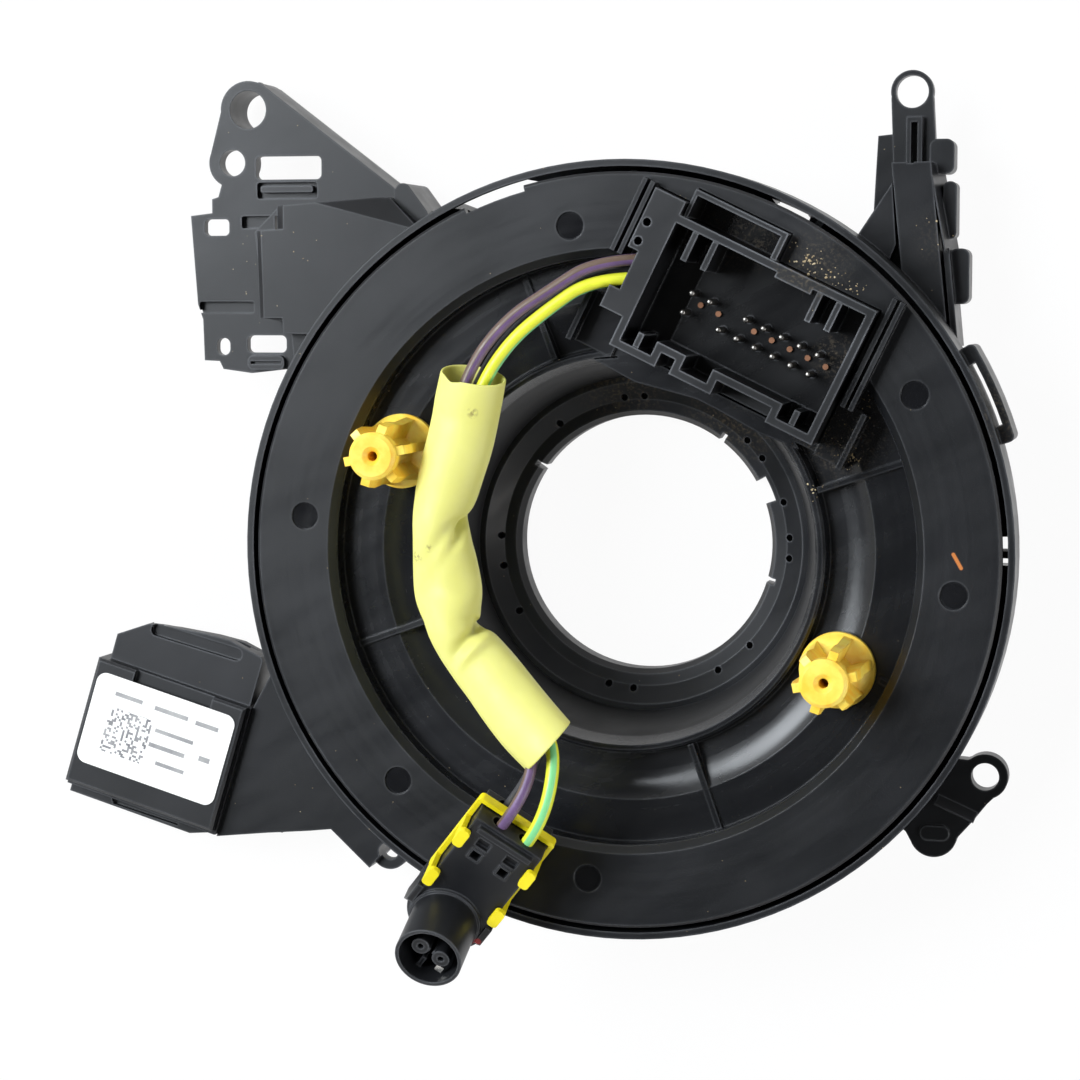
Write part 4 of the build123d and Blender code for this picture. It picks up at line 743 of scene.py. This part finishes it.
def labelFinish():
    finish, tree, shader = startFinish("label_paper")
    middleX, middleY = labelLook["middle"]
    where = placed(tree, objectSpace(tree), move=(middleX * mm, middleY * mm, 0),
                   turn=labelLook["turn"])
    split = tree.nodes.new("ShaderNodeSeparateXYZ")
    tree.links.new(where, split.inputs[0])
    x, y = split.outputs[0], split.outputs[1]
    left, lower, size = labelLook["field"]
    cell = labelLook["cell"] * mm
    snapped = tree.nodes.new("ShaderNodeCombineXYZ")
    for socket, value in ((snapped.inputs[0], x), (snapped.inputs[1], y)):
        tree.links.new(sums(tree, "FLOOR", sums(tree, "DIVIDE", value, cell)), socket)
    cells = tree.nodes.new("ShaderNodeTexWhiteNoise")
    cells.noise_dimensions = "2D"
    tree.links.new(snapped.outputs[0], cells.inputs["Vector"])
    dark = sums(tree, "GREATER_THAN", cells.outputs["Value"], labelLook["cellLimit"])
    field = insideBox(tree, x, y, left, lower, left + size, lower + size)
    ink = sums(tree, "MULTIPLY", dark, field)
    ink = sums(tree, "MULTIPLY", ink, labelLook["cellInk"])
    for middle, level, half, rise in labelLook["bars"]:
        bar = insideBox(tree, x, y, middle - half, level - rise, middle + half, level + rise)
        ink = sums(tree, "MAXIMUM", ink, sums(tree, "MULTIPLY", bar, labelLook["barInk"]))
    faded = span(tree, cloud(tree, where, 2.2 * mm, 3), *noiseRange, 0.75, 1.0)
    ink = sums(tree, "MULTIPLY", ink, faded)
    tree.links.new(mixTone(tree, ink, labelLook["paper"], labelLook["ink"]),
                   shader.inputs["Base Color"])
    tree.links.new(span(tree, cloud(tree, where, 1.5 * mm, 3), *noiseRange, 0.42, 0.55),
                   shader.inputs["Roughness"])
    edgeSoftened(tree, shader, cloud(tree, where, 0.3 * mm, 2), 0.004 * mm, 0)
    return finish


dress("sensor_label", labelFinish())
print("finishes on")

# Floor with a wall that curves up round it, open at the top, as (radius, height)
studio = {
    "profile": [(0.0, 0.0), (0.5, 0.0), (0.95, 0.0), (1.15, 0.05), (1.28, 0.18),
                (1.34, 0.4), (1.36, 0.95)],
    "hub": 1e-5,  # radius that the middle ring keeps
    "segments": 72,
    "clearance": 0.1 * mm,
    "tone": (0.86, 0.86, 0.86),
    "white": 0.95,
}


def buildStudio():
    floorLevel = cadBox[0].z - studio["clearance"]
    points, faces = [], []
    count = studio["segments"]
    for radius, height in studio["profile"]:
        radius = max(radius, studio["hub"])
        for k in range(count):
            angle = 2 * math.pi * k / count
            points.append((radius * math.cos(angle), radius * math.sin(angle),
                           floorLevel + height))
    for ring in range(len(studio["profile"]) - 1):
        for k in range(count):
            a, b = ring * count + k, ring * count + (k + 1) % count
            faces.append((a, a + count, b + count, b))
    finish, tree, shader = startFinish("studio_white")
    shader.inputs["Base Color"].default_value = (*studio["tone"], 1)
    shader.inputs["Roughness"].default_value = 0.9
    # the camera and reflections see an even white, and the light falls as on the floor
    rays = tree.nodes.new("ShaderNodeLightPath")
    seen = sums(tree, "MAXIMUM", rays.outputs["Is Camera Ray"], rays.outputs["Is Glossy Ray"])
    seen = sums(tree, "MAXIMUM", seen, rays.outputs["Is Transmission Ray"])
    glow = tree.nodes.new("ShaderNodeEmission")
    glow.inputs["Strength"].default_value = 1.0
    blend = tree.nodes.new("ShaderNodeMixShader")
    tree.links.new(sums(tree, "MULTIPLY", seen, studio["white"]), blend.inputs[0])
    tree.links.new(shader.outputs[0], blend.inputs[1])
    tree.links.new(glow.outputs[0], blend.inputs[2])
    output = next(n for n in tree.nodes if n.type == "OUTPUT_MATERIAL")
    tree.links.new(blend.outputs[0], output.inputs[0])
    floor = addMesh("studio_floor", points, faces, finish)


lamps = {
    "key": {"place": (-0.74, 0.38, 1.0), "size": 0.7, "power": 24.0, "tone": (0.9, 0.95, 1.0)},
    "fill": {"place": (0.95, -0.35, 0.45), "size": 0.5, "power": 4.0, "tone": (1.0, 1.0, 1.0)},
}
sky = 0.09


def hangLamps():
    for name, lamp in lamps.items():
        data = bpy.data.lights.new(name, "AREA")
        data.size = lamp["size"]
        data.energy = lamp["power"]
        data.color = lamp["tone"]
        light = bpy.data.objects.new(name, data)
        bpy.context.scene.collection.objects.link(light)
        light.location = lamp["place"]
        outward = Vector(lamp["place"]) - Vector(view["aim"])
        light.rotation_euler = outward.to_track_quat("Z", "Y").to_euler()
    world = bpy.data.worlds.new("studio")
    world.use_nodes = True
    around = world.node_tree.nodes["Background"]
    around.inputs[0].default_value = (1, 1, 1, 1)
    around.inputs[1].default_value = sky
    bpy.context.scene.world = world


buildStudio()
hangLamps()
bpy.context.scene.view_settings.view_transform = "Standard"
print("studio lit")
